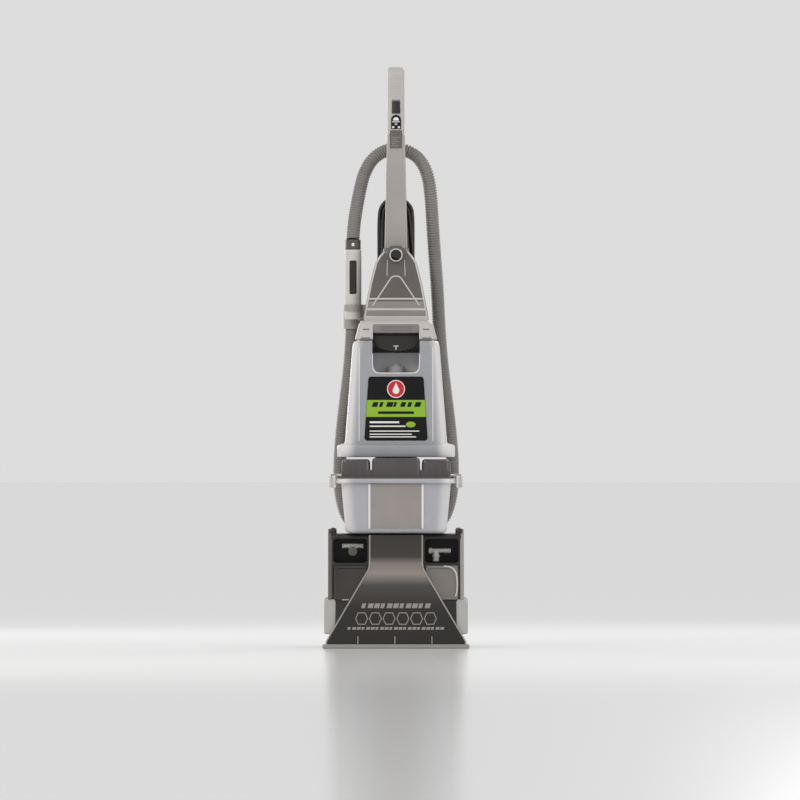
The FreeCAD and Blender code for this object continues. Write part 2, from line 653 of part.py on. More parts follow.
def path(points):
    """Straight runs joined by tangent arcs through hand-picked points; gives the wire and the radii."""
    corners = [vector(*point) for point in points]
    edges, radii, start = [], [], corners[0]
    for before, corner, after in zip(corners, corners[1:], corners[2:]):
        incoming, outgoing = corner - before, after - corner
        turn = incoming.getAngle(outgoing)
        setback = 0.45 * min(incoming.Length, outgoing.Length)
        radius = setback / math.tan(turn / 2)
        inward, outward = vector(incoming).normalize(), vector(outgoing).normalize()
        first, last = corner - inward * setback, corner + outward * setback
        bisector = (outward - inward).normalize()
        middle = corner + bisector * (radius / math.cos(turn / 2) - radius)
        edges.append(Part.LineSegment(start, first).toShape())
        edges.append(Part.Arc(first, middle, last).toShape())
        radii.append(round(radius))
        start = last
    edges.append(Part.LineSegment(start, corners[-1]).toShape())
    return Part.Wire(edges), radii


def flexible(name, points, diameter):
    """A round tube of a cord or hose along its route."""
    wire, radii = path(points)
    first = wire.OrderedEdges[0]
    direction = first.tangentAt(first.FirstParameter)
    section = Part.Wire(Part.makeCircle(float(diameter) / 2, wire.OrderedVertexes[0].Point, direction))
    shape = wire.makePipeShell([section], True, False)
    ideal = math.pi * float(diameter) ** 2 / 4 * wire.Length
    print(name, "length", round(wire.Length), "radii", radii, "volume ratio", round(shape.Volume / ideal, 4))
    piece = doc.addObject("Part::Feature", "Tube")
    piece.Shape = shape
    return keep(name, piece)


leadX, leadY = 26, 109

# upholstery hose: from the port down the left, round behind the spine, up the
# right, over the hose hook and down into the hand grip
hoseRoute = [(-84, 112, 607), (-87, 113, 545), (-95, 116, 480), (-103, 121, 415), (-108, 128, 350),
             (-107, 136, 290), (-92, 141, 240), (-56, 143, 212), (-3, 143.5, 203), (52, 143, 211),
             (91, 141, 239), (107, 136, 289), (108.5, 128, 350), (103, 121, 415), (95, 116, 480),
             (87, 113, 545), (82, 112, 612), (79, 112.5, 682), (74, 112, 744), (70, 112, 802),
             (67, 112, 857), (61, 112, 902), (44.5, 112, 933), (17, 112, 949), (-17, 112, 949),
             (-45, 112, 932), (-62, 110.5, 902), (-71, 105, 862), (-78, 94, 823), (-81.5, 82, 793),
             (-82, 77, 776)]


def power_cord():
    half, band = s.hank_half, s.hank_band
    middleLow, middleHigh = s.hank_low + half, s.hank_top - half
    front, inner = s.hank_front, half - band

    def stadium(radius, y, depth):
        return fuse(box((-radius, y, middleLow), (radius, y + depth, middleHigh)),
                    rod((0, y, middleLow), axisY, radius, depth), rod((0, y, middleHigh), axisY, radius, depth))
    ring = cut(stadium(half, front, band), stadium(inner, front - 1, band + 2))
    keep("power_cord_hank", ring)
    relief = doc.addObject("Part::Cone", "Cone")
    bind(relief, "Radius1", 9)
    bind(relief, "Radius2", s.cord_size / 2 + 1.2)
    bind(relief, "Height", 23)
    place(relief, (leadX, leadY, spineTop))
    keep("strain_relief", relief)
    back = hankBack + 0.2
    shell = round_off(box((15, back, 664), (37, back + 18, 700)), 4, along(axisZ))
    blades = [box((18.5, back + 6, 646), (20, back + 12, 665)), box((32, back + 6, 646), (33.5, back + 12, 665))]
    keep("power_plug", fuse(shell, rod((26, back + 9, 699), axisZ, 5, 12), *blades))


def hose_and_grip():
    hoseRadius = s.hose_size / 2
    portX, portY = hoseRoute[0][0], hoseRoute[0][1]
    cuff = rod((portX, portY, 606), axisZ, hoseRadius + 3, 36)
    bridge = box((portX, 100, 621), (-38.5, 124, 640))
    foot = box((-46, 95, 621), (-38.5, 124, 644))
    socket = rod((portX, portY, 600), axisZ, hoseRadius + 0.2, 16)
    keep("hose_port", cut(fuse(cuff, bridge, foot), socket))
    flexible("tool_hose", hoseRoute, s.hose_size)
    x, y, radius = s.grip_x, s.grip_y + 14, s.grip_radius
    body = rod((x, y, s.grip_low), axisZ, radius, s.grip_top - s.grip_low)
    slot = box((x - 6.8, y - radius - 1, 672), (x + 6.8, y - 3, 736))
    keep("hand_grip", cut(body, slot))
    keep("grip_trigger", box((x - 6.4, y - radius - 0.5, 673), (x + 6.4, y - 8, 735)))
    keep("grip_collar", fuse(rod((x, y, s.grip_top), axisZ, hoseRadius + 1.8, s.collar_top - s.grip_top),
                             box((x - 3, y - radius + 0.5, s.grip_top + 2), (x + 3, y - 8, s.collar_top - 2))))
    clamp = tube((x, y, 640), axisZ, radius + 2.6, radius, 12)
    opening = box((x - 40, y - radius * 0.5, 630), (x - radius * 0.3, y + radius * 0.5, 660))
    arm = box((x + radius + 1, y - 5, 640), (-42, y + 5, 652))
    keep("grip_clip", fuse(cut(clamp, opening), arm))


def tool_sections(inset, bottom):
    sections = [(bottom, s.tool_half_low, 22, 46), (690, 50, 21, 50), (732, 40, 22, 53), (764 - inset, 12, 26, 53)]
    return [(dim(z), sym(dim(half) - inset, front + inset, back - inset)) for z, half, front, back in sections]


def hand_tool():
    shell = loft(tool_sections(dim(0), s.tool_low))
    room = loft(tool_sections(s.tool_wall, s.tool_low - 1))
    ring = rod((0, 8, s.socket_z), axisY, s.socket_radius + 3, 17)
    bore = rod((0, 7, s.socket_z), axisY, s.socket_radius, 30)
    keep("hand_tool", cut(fuse(cut(shell, room), ring), bore))


# ---- build, check and write ----

for build in (base_chassis, running_gear, release_pedal, nozzle, hood_shell, bumpers, brushes, air_turbine,
              fittings, suction_motor, recovery_tank, recovery_lid, solution_tank, spine, upright_frame, neck,
              handle, grip, upper_cord_hook, power_cord, hose_and_grip, hand_tool):
    build()
window_panel("window_panel", -1)
window_panel("turbine_cover", 1)

doc.recompute()
for item in doc.Objects:
    if "Invalid" in item.State or "Error" in item.State:
        owners = [owner.Label for owner in item.InListRecursive]
        raise SystemExit("%s of %s failed: %s" % (item.Label, owners, item.State))
os.makedirs("parts", exist_ok=True)
for name, node in nodes.items():
    if node.Shape.isNull() or not node.Shape.isValid() or node.Shape.Volume <= 0:
        raise SystemExit("bad shape: " + name)
    node.Shape.exportStep("parts/%s.step" % name)
    extent = node.Shape.BoundBox
    print("%-20s solids %d  x %.1f %.1f  y %.1f %.1f  z %.1f %.1f" % (
        name, len(node.Shape.Solids), extent.XMin, extent.XMax, extent.YMin, extent.YMax,
        extent.ZMin, extent.ZMax))
print(len(nodes), "sub-parts")
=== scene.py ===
from math import cos, sin, pi, radians
import bpy
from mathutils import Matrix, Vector


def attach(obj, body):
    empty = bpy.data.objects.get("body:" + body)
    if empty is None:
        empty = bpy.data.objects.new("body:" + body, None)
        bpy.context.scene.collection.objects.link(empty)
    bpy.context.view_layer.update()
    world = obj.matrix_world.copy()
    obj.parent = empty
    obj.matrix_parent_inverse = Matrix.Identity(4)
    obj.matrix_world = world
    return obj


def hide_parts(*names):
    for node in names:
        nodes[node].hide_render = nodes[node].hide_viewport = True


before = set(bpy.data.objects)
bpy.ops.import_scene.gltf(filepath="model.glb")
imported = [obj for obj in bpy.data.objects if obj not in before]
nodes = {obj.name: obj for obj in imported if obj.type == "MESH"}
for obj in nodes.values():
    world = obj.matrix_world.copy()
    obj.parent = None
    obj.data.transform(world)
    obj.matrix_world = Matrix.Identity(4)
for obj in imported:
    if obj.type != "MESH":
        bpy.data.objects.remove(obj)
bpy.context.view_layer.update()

# Upright carpet cleaner. Metres in the scene, millimetres in the dictionaries.
mm = 0.001
context = bpy.context


# selecting, shaping and handing over a piece

def clearSelection():
    bpy.ops.object.select_all(action="DESELECT")


def activate(piece):
    clearSelection()
    piece.select_set(True)
    context.view_layer.objects.active = piece


def editMesh(piece, kind="FACE"):
    activate(piece)
    bpy.ops.object.mode_set(mode="EDIT")
    bpy.ops.mesh.select_mode(type=kind)


def objectMode():
    bpy.ops.object.mode_set(mode="OBJECT")


def settle(piece):
    activate(piece)
    bpy.ops.object.transform_apply(location=True, rotation=True, scale=True)


def modify(piece, kind, **settings):
    activate(piece)
    modifier = piece.modifiers.new(kind, kind)
    for field, value in settings.items():
        setattr(modifier, field, value)
    bpy.ops.object.modifier_apply(modifier=modifier.name)


def roundEdges(piece, width, segments=3, angle=35):
    modify(piece, "BEVEL", width=width * mm, segments=segments, limit_method="ANGLE",
           angle_limit=radians(angle), harden_normals=False)


def smoothPiece(piece, angle=35):
    activate(piece)
    bpy.ops.object.shade_smooth_by_angle(angle=radians(angle))


def cutAway(piece, cutter):
    modify(piece, "BOOLEAN", operation="DIFFERENCE", solver="EXACT", use_self=True, object=cutter)
    bpy.data.objects.remove(cutter)


def weld(piece, *others):
    # one object out of several
    activate(piece)
    for other in others:
        other.select_set(True)
    bpy.ops.object.join()
    return piece


def copyPiece(piece):
    activate(piece)
    bpy.ops.object.duplicate()
    return context.active_object


def mirrorPiece(piece):
    # the other hand of a piece, turned right side out again
    twin = copyPiece(piece)
    twin.scale.x = -1
    settle(twin)
    editMesh(twin)
    bpy.ops.mesh.select_all(action="SELECT")
    bpy.ops.mesh.normals_make_consistent(inside=False)
    objectMode()
    return twin


def block(low, high):
    centre = [(a + b) / 2 * mm for a, b in zip(low, high)]
    bpy.ops.mesh.primitive_cube_add(size=1, location=centre)
    piece = context.active_object
    piece.scale = [(b - a) * mm for a, b in zip(low, high)]
    settle(piece)
    return piece


def roundedBlock(low, high, width, segments=3, angle=35):
    piece = block(low, high)
    roundEdges(piece, width, segments, angle)
    return piece


turns = {"x": (0, pi / 2, 0), "y": (pi / 2, 0, 0), "z": (0, 0, 0)}


def barrel(centre, axis, radius, length, sides=48, endRadius=None):
    # a round bar about its middle; a taper when endRadius is given (towards +axis)
    place = [c * mm for c in centre]
    if endRadius is None:
        bpy.ops.mesh.primitive_cylinder_add(vertices=sides, radius=radius * mm, depth=length * mm,
                                            location=place, rotation=turns[axis])
    else:
        bpy.ops.mesh.primitive_cone_add(vertices=sides, radius1=radius * mm, radius2=endRadius * mm,
                                        depth=length * mm, location=place, rotation=turns[axis])
    piece = context.active_object
    settle(piece)
    return piece


def ring(centre, axis, radius, thickness, sides=48, minorSides=12):
    bpy.ops.mesh.primitive_torus_add(location=[c * mm for c in centre], rotation=turns[axis],
                                     major_radius=radius * mm, minor_radius=thickness * mm,
                                     major_segments=sides, minor_segments=minorSides)
    piece = context.active_object
    settle(piece)
    return piece


def stack(sections, corner=0, cornerSides=5):
    # a plate with rounded corners drawn up through sections: height, half width, front, back
    z, half, front, back = sections[0]
    bpy.ops.mesh.primitive_plane_add(size=1, location=(0, (front + back) / 2 * mm, z * mm))
    piece = context.active_object
    piece.scale = (half * 2 * mm, (back - front) * mm, 1)
    settle(piece)
    editMesh(piece, "VERT")
    bpy.ops.mesh.select_all(action="SELECT")
    if corner:
        bpy.ops.mesh.bevel(offset=corner * mm, segments=cornerSides, affect="VERTICES")
    bpy.ops.mesh.select_mode(type="FACE")
    bpy.ops.mesh.select_all(action="SELECT")
    for nextZ, nextHalf, nextFront, nextBack in sections[1:]:
        middle = (nextFront + nextBack) / 2
        shift = middle - (front + back) / 2
        bpy.ops.mesh.extrude_region_move(TRANSFORM_OT_translate={"value": (0, shift * mm, (nextZ - z) * mm)})
        bpy.ops.transform.resize(value=(nextHalf / half, (nextBack - nextFront) / (back - front), 1),
                                 center_override=(0, middle * mm, nextZ * mm))
        z, half, front, back = nextZ, nextHalf, nextFront, nextBack
    bpy.ops.mesh.select_all(action="SELECT")
    bpy.ops.mesh.normals_make_consistent(inside=False)
    objectMode()
    return piece


def panel(outline, plane, low, high):
    # a flat outline (mm) drawn through a thickness along the axis it faces
    count = len(outline)
    bpy.ops.mesh.primitive_circle_add(vertices=count, radius=1, fill_type="NGON")
    piece = context.active_object
    for corner, (a, b) in zip(piece.data.vertices, outline):
        corner.co = {"x": (low, a, b), "y": (a, low, b), "z": (a, b, low)}[plane]
        corner.co *= mm
    editMesh(piece)
    bpy.ops.mesh.select_all(action="SELECT")
    depth = (high - low) * mm
    step = {"x": (depth, 0, 0), "y": (0, depth, 0), "z": (0, 0, depth)}[plane]
    bpy.ops.mesh.extrude_region_move(TRANSFORM_OT_translate={"value": step})
    bpy.ops.mesh.select_all(action="SELECT")
    bpy.ops.mesh.normals_make_consistent(inside=False)
    objectMode()
    return piece


def circle(x, z, half, height, sides):
    return [(x + half * cos(2 * pi * n / sides), z + height * sin(2 * pi * n / sides)) for n in range(sides)]


def laidOn(face, outline, proud, thick):
    # a flat shape, across and height (mm), laid on the sloping face whose depth at a height is face(z)
    piece = panel(outline, "y", 0, thick)
    for corner in piece.data.vertices:
        corner.co.y += (face(corner.co.z / mm) - proud) * mm
    return piece


def handOver(piece, name, body, finish, replaced=(), smooth=None):
    # the finished piece gets its name, material and moving body
    if smooth:
        smoothPiece(piece, smooth)
    piece.name = name
    piece.data.name = name
    piece.data.materials.clear()
    piece.data.materials.append(plastics[finish])
    for node in replaced:
        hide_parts(node)
    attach(piece, body)
    return piece


# materials

def linear(code):
    # sRGB hex to the linear values that shaders use
    parts = [int(code[n:n + 2], 16) / 255 for n in (1, 3, 5)]
    return [p / 12.92 if p <= 0.04045 else ((p + 0.055) / 1.055) ** 2.4 for p in parts] + [1.0]


def addNode(tree, kind, settings=None, values=None, links=None):
    node = tree.nodes.new(kind)
    for field, value in (settings or {}).items():
        setattr(node, field, value)
    for socket, value in (values or {}).items():
        node.inputs[socket].default_value = value
    for socket, source in (links or {}).items():
        tree.links.new(source, node.inputs[socket])
    return node


def newMaterial(name):
    finish = bpy.data.materials.new(name)
    finish.use_nodes = True
    tree = finish.node_tree
    tree.nodes.clear()
    output = addNode(tree, "ShaderNodeOutputMaterial")
    where = addNode(tree, "ShaderNodeTexCoord")
    return finish, tree, output, where


def maths(tree, operation, a, b=0.0):
    node = addNode(tree, "ShaderNodeMath", {"operation": operation})
    for socket, value in zip(node.inputs, (a, b)):
        if isinstance(value, (int, float)):
            socket.default_value = value
        else:
            tree.links.new(value, socket)
    return node.outputs[0]


def paintedLightByHeight(tree, where, look):
    # painted light and shade on the smoked sheet by height: painted shade low down and at the top, a painted
    # highlight band over the bend
    place = addNode(tree, "ShaderNodeSeparateXYZ", links={"Vector": where.outputs["Object"]})
    share = maths(tree, "MULTIPLY", place.outputs["Z"], 1000 / look["highMm"])
    ramp = addNode(tree, "ShaderNodeValToRGB", links={"Fac": share})
    stops = ramp.color_ramp.elements
    while len(stops) < len(look["paintedLightStops"]):
        stops.new(0.5)
    for stop, (at, code) in zip(stops, look["paintedLightStops"]):
        stop.position = at
        stop.color = linear(code)
    return ramp.outputs["Color"]


def paintedEdgeGlow(tree, where, look, tint):
    # painted glow: a milky tank is painted whitest down its sides, where its wall is seen edge-on
    halfMm, taper, lowMm = look["halfMm"]
    place = addNode(tree, "ShaderNodeSeparateXYZ", links={"Vector": where.outputs["Object"]})
    rise = maths(tree, "SUBTRACT", place.outputs["Z"], lowMm * mm)
    half = maths(tree, "SUBTRACT", halfMm * mm, maths(tree, "MULTIPLY", rise, taper))
    share = maths(tree, "DIVIDE", maths(tree, "ABSOLUTE", place.outputs["X"]), half)
    blend = addNode(tree, "ShaderNodeMapRange", {"interpolation_type": "SMOOTHSTEP"},
                    {"From Min": 0.74, "From Max": 0.97}, {"Value": share})
    return addNode(tree, "ShaderNodeMix", {"data_type": "RGBA"}, {7: linear(look["edge"])},
                   {0: blend.outputs["Result"], 6: tint}).outputs[2]


def mouldedPlastic(name, look):
    # injection moulded: an even colour with faint flow marks and a fine spark-eroded grain
    finish, tree, output, where = newMaterial(name)
    cloud = addNode(tree, "ShaderNodeTexNoise", values={"Scale": 1000 / look.get("flowMm", 60),
                                                        "Detail": 3.0},
                    links={"Vector": where.outputs["Object"]})
    # a look with height stops gets painted light in place of flow marks: painted shade and a painted
    # highlight band
    if "paintedLightStops" in look:
        tint = paintedLightByHeight(tree, where, look)
    else:
        tint = addNode(tree, "ShaderNodeMix", {"data_type": "RGBA"},
                       {6: linear(look["dark"]), 7: linear(look["light"])},
                       {0: cloud.outputs["Fac"]}).outputs[2]
    # a look with an edge colour gets a painted glow down its sides
    if "edge" in look:
        tint = paintedEdgeGlow(tree, where, look, tint)
    grain = addNode(tree, "ShaderNodeTexNoise", values={"Scale": 1000 / look.get("grainMm", 0.9),
                                                        "Detail": 2.0},
                    links={"Vector": where.outputs["Object"]})
    bump = addNode(tree, "ShaderNodeBump", values={"Strength": look.get("bump", 0.12), "Distance": 0.0004},
                   links={"Height": grain.outputs["Fac"]})
    rough = addNode(tree, "ShaderNodeMapRange",
                    values={"To Min": look["rough"] - 0.06, "To Max": look["rough"] + 0.06},
                    links={"Value": grain.outputs["Fac"]})
    values = {"IOR": look.get("ior", 1.53), "Specular IOR Level": look.get("specular", 0.5)}
    if "coat" in look:
        values["Coat Weight"] = look["coat"]
        values["Coat Roughness"] = 0.08
    if "clear" in look:
        values["Transmission Weight"] = look["clear"]
    if "scatter" in look:
        values["Subsurface Weight"] = look["scatter"]
        values["Subsurface Scale"] = 0.006
        values["Subsurface Radius"] = (1.0, 1.0, 1.0)
    shader = addNode(tree, "ShaderNodeBsdfPrincipled", values=values,
                     links={"Base Color": tint, "Roughness": rough.outputs["Result"],
                            "Normal": bump.outputs["Normal"]})
    tree.links.new(shader.outputs["BSDF"], output.inputs["Surface"])
    return finish


plasticLooks = {
    # acrylonitrile butadiene styrene (ABS), satin textured mouldings of the upright
    "absHandleGrey": {"dark": "#96918d", "light": "#a8a39f", "rough": 0.42},
    "absGripGrey": {"dark": "#aeaaa6", "light": "#bfbbb7", "rough": 0.48},
    "absShoulderGrey": {"dark": "#b7b2ae", "light": "#c4bfbb", "rough": 0.40},
    "absHoseGripGrey": {"dark": "#c2bfba", "light": "#d2cfca", "rough": 0.42},
    "absBarGrey": {"dark": "#76716e", "light": "#86817e", "rough": 0.40},
    "absCharcoal": {"dark": "#1f1b19", "light": "#2c2825", "rough": 0.38, "specular": 0.4},
    "absNeckGrey": {"dark": "#77716d", "light": "#8a8480", "rough": 0.38},
    "absCharcoalSoft": {"dark": "#4a4642", "light": "#57524e", "rough": 0.42},
    "absLipGrey": {"dark": "#8a8581", "light": "#9a9591", "rough": 0.36},
    "absChassisBlack": {"dark": "#1d1c1b", "light": "#2a2827", "rough": 0.5},
    # thermoplastic rubber furniture guards, soft and matt
    "rubberBumper": {"dark": "#a09f9a", "light": "#b3b1ad", "rough": 0.62, "ior": 1.5, "grainMm": 1.4},
    # tinted acrylic, polished mould, nearly opaque: deep colour under a clear gloss
    "acrylicHoodSmoke": {"dark": "#191614", "light": "#2a2623", "rough": 0.26, "specular": 0.4, "bump": 0.02},
    # the duct's stops paint light by height: painted shade low down and at the top, a painted highlight band
    # at the bend
    "acrylicDuctSmokePaintedLight": {"rough": 0.24, "specular": 0.4, "bump": 0.02, "highMm": 216,
                         "paintedLightStops": [(0.0, "#1a1715"), (0.36, "#24201e"), (0.55, "#45403c"),
                                    (0.655, "#8f867f"),
                                    (0.74, "#7d756f"), (0.80, "#3a3532"), (1.0, "#2f2b28")]},
    "acrylicWindowDark": {"dark": "#231f1c", "light": "#3b3632", "rough": 0.2, "bump": 0.02},
    "acrylicWindowLight": {"dark": "#6d6761", "light": "#8f8983", "rough": 0.18, "bump": 0.02, "clear": 0.2},
    # painted highlight: a pale moulding laid along edges, walls and ribs where they catch the light
    "acrylicPaleHighlightPainted": {"dark": "#bdb8b4", "light": "#d0cbc7", "rough": 0.22, "bump": 0.01},
    "acrylicBandSmoke": {"dark": "#918b87", "light": "#a6a09c", "rough": 0.2, "bump": 0.01, "clear": 0.2},
    # painted highlights along rounded edges: a dim copy for the shaded left, a bright one for the lit right
    # and the duct rim
    "acrylicEdgeDimHighlightPainted": {"dark": "#4f4944", "light": "#6b645f", "rough": 0.2, "bump": 0.02},
    "acrylicEdgeHighlightPainted": {"dark": "#847f79", "light": "#a8a39d", "rough": 0.2, "bump": 0.02},
    # clear smoke acrylic that shows what lies behind it
    "acrylicClearSmoke": {"dark": "#a09693", "light": "#b6adaa", "rough": 0.10, "bump": 0.01, "clear": 0.86,
                          "ior": 1.49},
    "acrylicLidSmoke": {"dark": "#4c4445", "light": "#645b5c", "rough": 0.16, "coat": 0.3, "bump": 0.01,
                        "clear": 0.3, "ior": 1.49},
    "acrylicRiserSmoke": {"dark": "#958e8b", "light": "#aaa39f", "rough": 0.22, "bump": 0.02, "clear": 0.15},
    "acrylicToolSmoke": {"dark": "#6f6965", "light": "#857e7a", "rough": 0.10, "coat": 0.3, "bump": 0.01,
                         "clear": 0.45, "ior": 1.49},
    "acrylicLatchClear": {"dark": "#dedad6", "light": "#eeeae7", "rough": 0.12, "bump": 0.01, "clear": 0.75,
                          "ior": 1.49},
    # natural polypropylene, blow moulded: milky, light glows in its wall; the edge colour is a painted glow
    # down the sides
    "polypropyleneMilky": {"dark": "#a3a5a9", "light": "#adafb3", "edge": "#eeebea", "rough": 0.34,
                           "bump": 0.05, "clear": 0.18, "scatter": 0.2, "ior": 1.49, "flowMm": 110,
                           "halfMm": (99, 0.0766, 361)},
    "polypropyleneTank": {"dark": "#b3b3b8", "light": "#c0c1c6", "edge": "#eeebea", "rough": 0.34,
                          "bump": 0.05, "clear": 0.18, "scatter": 0.2, "ior": 1.49, "flowMm": 110,
                          "halfMm": (96, -0.084, 217)},
    "polypropyleneWhite": {"dark": "#d8d6d6", "light": "#e8e6e6", "rough": 0.34, "bump": 0.05, "ior": 1.49},
    # plasticised PVC: hose and mains lead
    "pvcHoseGrey": {"dark": "#6f6b67", "light": "#8b8783", "rough": 0.42, "ior": 1.54},
    "pvcCordBlack": {"dark": "#1a1917", "light": "#282624", "rough": 0.36, "ior": 1.54},
    # acetal and nylon inside parts
    "acetalGrey": {"dark": "#8f8d88", "light": "#a7a5a0", "rough": 0.30, "specular": 0.7},
    "acetalWhite": {"dark": "#d4d2cc", "light": "#e6e4de", "rough": 0.35},
    "nylonBristle": {"dark": "#b9bcbd", "light": "#d8dadb", "rough": 0.45},
    "rubberTyre": {"dark": "#191919", "light": "#272727", "rough": 0.66, "ior": 1.5, "grainMm": 1.6},
    # printed gloss vinyl of the labels
    "vinylBlack": {"dark": "#0b0a0a", "light": "#121110", "rough": 0.34, "specular": 0.2, "bump": 0.01},
    "vinylGreen": {"dark": "#84ad2a", "light": "#90ba33", "rough": 0.32, "specular": 0.3, "bump": 0.01},
    "vinylRed": {"dark": "#bb1f2b", "light": "#c92a35", "rough": 0.32, "specular": 0.3, "bump": 0.01},
    "vinylWhite": {"dark": "#dedcd8", "light": "#efedea", "rough": 0.3, "bump": 0.01},
    "vinylTaupeLight": {"dark": "#87817c", "light": "#938d88", "rough": 0.34, "bump": 0.02},
    "vinylTaupe": {"dark": "#5b5550", "light": "#69635e", "rough": 0.34, "bump": 0.02},
}
plastics = {name: mouldedPlastic(name, look) for name, look in plasticLooks.items()}


def turnedSteel():
    # zinc plated steel, turned: fine rings and a cool shine
    finish, tree, output, where = newMaterial("steelTurned")
    rings = addNode(tree, "ShaderNodeTexNoise", values={"Scale": 1600.0, "Detail": 1.0},
                    links={"Vector": where.outputs["Object"]})
    colour = addNode(tree, "ShaderNodeMix", {"data_type": "RGBA"},
                     {6: linear("#9c9c9b"), 7: linear("#b4b4b3")}, {0: rings.outputs["Fac"]})
    rough = addNode(tree, "ShaderNodeMapRange", values={"To Min": 0.22, "To Max": 0.38},
                    links={"Value": rings.outputs["Fac"]})
    shader = addNode(tree, "ShaderNodeBsdfPrincipled", values={"Metallic": 1.0},
                     links={"Base Color": colour.outputs[2], "Roughness": rough.outputs["Result"]})
    tree.links.new(shader.outputs["BSDF"], output.inputs["Surface"])
    return finish


plastics["steelTurned"] = turnedSteel()
print("materials ready")


# camera, floor and light

camera = {"fieldMm": 1520, "distance": 30.0, "aimX": 0.0076, "aimZ": 0.470, "sensor": 36.0, "planeY": -0.05}


def makeCamera():
    bpy.ops.object.camera_add(location=(camera["aimX"], camera["planeY"] - camera["distance"],
                                        camera["aimZ"]),
                              rotation=(pi / 2, 0, 0))
    view = context.active_object
    view.data.sensor_width = camera["sensor"]
    view.data.lens = camera["sensor"] * camera["distance"] / (camera["fieldMm"] * mm)
    view.data.clip_end = 200
    view.data.dof.use_dof = False
    context.scene.camera = view


lights = [
    # name, place, aim, size, power, colour
    ("keyLight", (-1.9, -2.6, 2.4), (0, 0, 0.55), 1.6, 34, "#fffaf4"),
    ("fillLight", (2.3, -2.2, 1.5), (0, 0, 0.5), 1.8, 16, "#f4f8ff"),
    ("rimLight", (1.2, 2.2, 2.3), (0, 0, 0.7), 1.2, 26, "#ffffff"),
    ("rimLightLeft", (-1.6, 1.9, 1.2), (0, 0, 0.6), 1.0, 14, "#ffffff"),
]


def makeStage():
    for name, place, aim, size, power, tint in lights:
        bpy.ops.object.light_add(type="AREA", location=place)
        lamp = context.active_object
        lamp.name = name
        lamp.data.size = size
        lamp.data.energy = power
        lamp.data.color = linear(tint)[:3]
        lamp.rotation_euler = (Vector(aim) - Vector(place)).to_track_quat("-Z", "Y").to_euler()
    world = bpy.data.worlds.new("studio")
    world.use_nodes = True
    world.node_tree.nodes["Background"].inputs["Color"].default_value = (1, 1, 1, 1)
    world.node_tree.nodes["Background"].inputs["Strength"].default_value = 0.72
    context.scene.world = world
    context.scene.view_settings.view_transform = "Standard"
    bpy.ops.mesh.primitive_plane_add(size=120, location=(0, 0, 0))
    floor = context.active_object
    floor.name = "studioFloor"
    finish, tree, output, where = newMaterial("paleGlossFloor")
    shader = addNode(tree, "ShaderNodeBsdfPrincipled",
                     values={"Base Color": linear("#f4f4f4"), "Roughness": 0.16, "Specular IOR Level": 0.5})
    tree.links.new(shader.outputs["BSDF"], output.inputs["Surface"])
    floor.data.materials.append(finish)


clearSelection()
makeCamera()
makeStage()
print("camera and stage ready")


# cords: the power cord on its hooks, and the upholstery hose

def routeCurve(name, points):
    curve = bpy.data.curves.new(name, "CURVE")
    curve.dimensions = "3D"
    spline = curve.splines.new("NURBS")
    spline.points.add(len(points) - 1)
    for knot, point in zip(spline.points, points):
        knot.co = (*point, 1.0)
    spline.order_u = 3
    spline.use_endpoint_u = True
    curve.resolution_u = 16
    piece = bpy.data.objects.new(name, curve)
    context.scene.collection.objects.link(piece)
    return piece


def routeLine(piece):
    # points along the route's own NURBS spline, read from the curve without a bevel
    context.view_layer.update()
    line = bpy.data.meshes.new_from_object(piece)
    points = [Vector(corner.co) for corner in line.vertices]
    bpy.data.meshes.remove(line)
    return points


def walk(points, step):
    # even stations along a line, each with its direction
    stations, left = [], 0.0
    for a, b in zip(points, points[1:]):
        run = (b - a).length
        while left <= run and run > 0:
            stations.append((a.lerp(b, left / run), (b - a).normalized()))
            left += step
        left -= run
    stations.append((points[-1], (points[-1] - points[-2]).normalized()))
    return stations


hose = {
    "ends": ("handGripBody", "gripCollar", "gripCollarCatch"),
    "size": 26, "ribPitch": 5.0, "ribDepth": 1.5, "sides": 22,
    "route": [(-84, 112, 607), (-87, 113, 545), (-95, 116, 480), (-103, 121, 415), (-108, 128, 350),
              (-107, 136, 290), (-92, 141, 240), (-56, 143, 212), (-3, 143.5, 203), (52, 143, 211),
              (91, 141, 239), (107, 136, 289), (108.5, 128, 350), (103, 121, 415), (95, 116, 480),
              (87, 113, 545), (82, 112, 612), (79, 112.5, 682), (74, 112, 744), (70, 112, 802),
              (67, 112, 857), (61, 112, 902), (44.5, 112, 933), (17, 112, 949), (-17, 112, 949),
              (-45, 112, 932), (-62, 110.5, 902), (-71, 105, 862), (-78, 94, 823), (-81.5, 82, 793),
              (-82, 77, 776)],
}


def ribbedTube(name, line, radius, depth, pitch, sides):
    # rings at the crest and root of every rib, turned along the line without twist
    rings, corners, faces = [], [], []
    across = Vector((0, 1, 0))
    for number, (centre, ahead) in enumerate(walk(line, pitch / 4)):
        across = (across - ahead * across.dot(ahead)).normalized()
        up = ahead.cross(across)
        swell = radius - depth * (0.5 - 0.5 * cos(2 * pi * number / 4)) ** 1.5
        rings.append(len(corners))
        for side in range(sides):
            angle = 2 * pi * side / sides
            corners.append(centre + (across * cos(angle) + up * sin(angle)) * swell)
    for a, b in zip(rings, rings[1:]):
        for side in range(sides):
            after = (side + 1) % sides
            faces.append((a + side, a + after, b + after, b + side))
    faces.append(tuple(range(rings[0] + sides - 1, rings[0] - 1, -1)))
    faces.append(tuple(range(rings[-1], rings[-1] + sides)))
    shape = bpy.data.meshes.new(name)
    shape.from_pydata([tuple(c) for c in corners], [], faces)
    piece = bpy.data.objects.new(name, shape)
    context.scene.collection.objects.link(piece)
    editMesh(piece)
    bpy.ops.mesh.select_all(action="SELECT")
    bpy.ops.mesh.normals_make_consistent(inside=False)
    objectMode()
    return piece


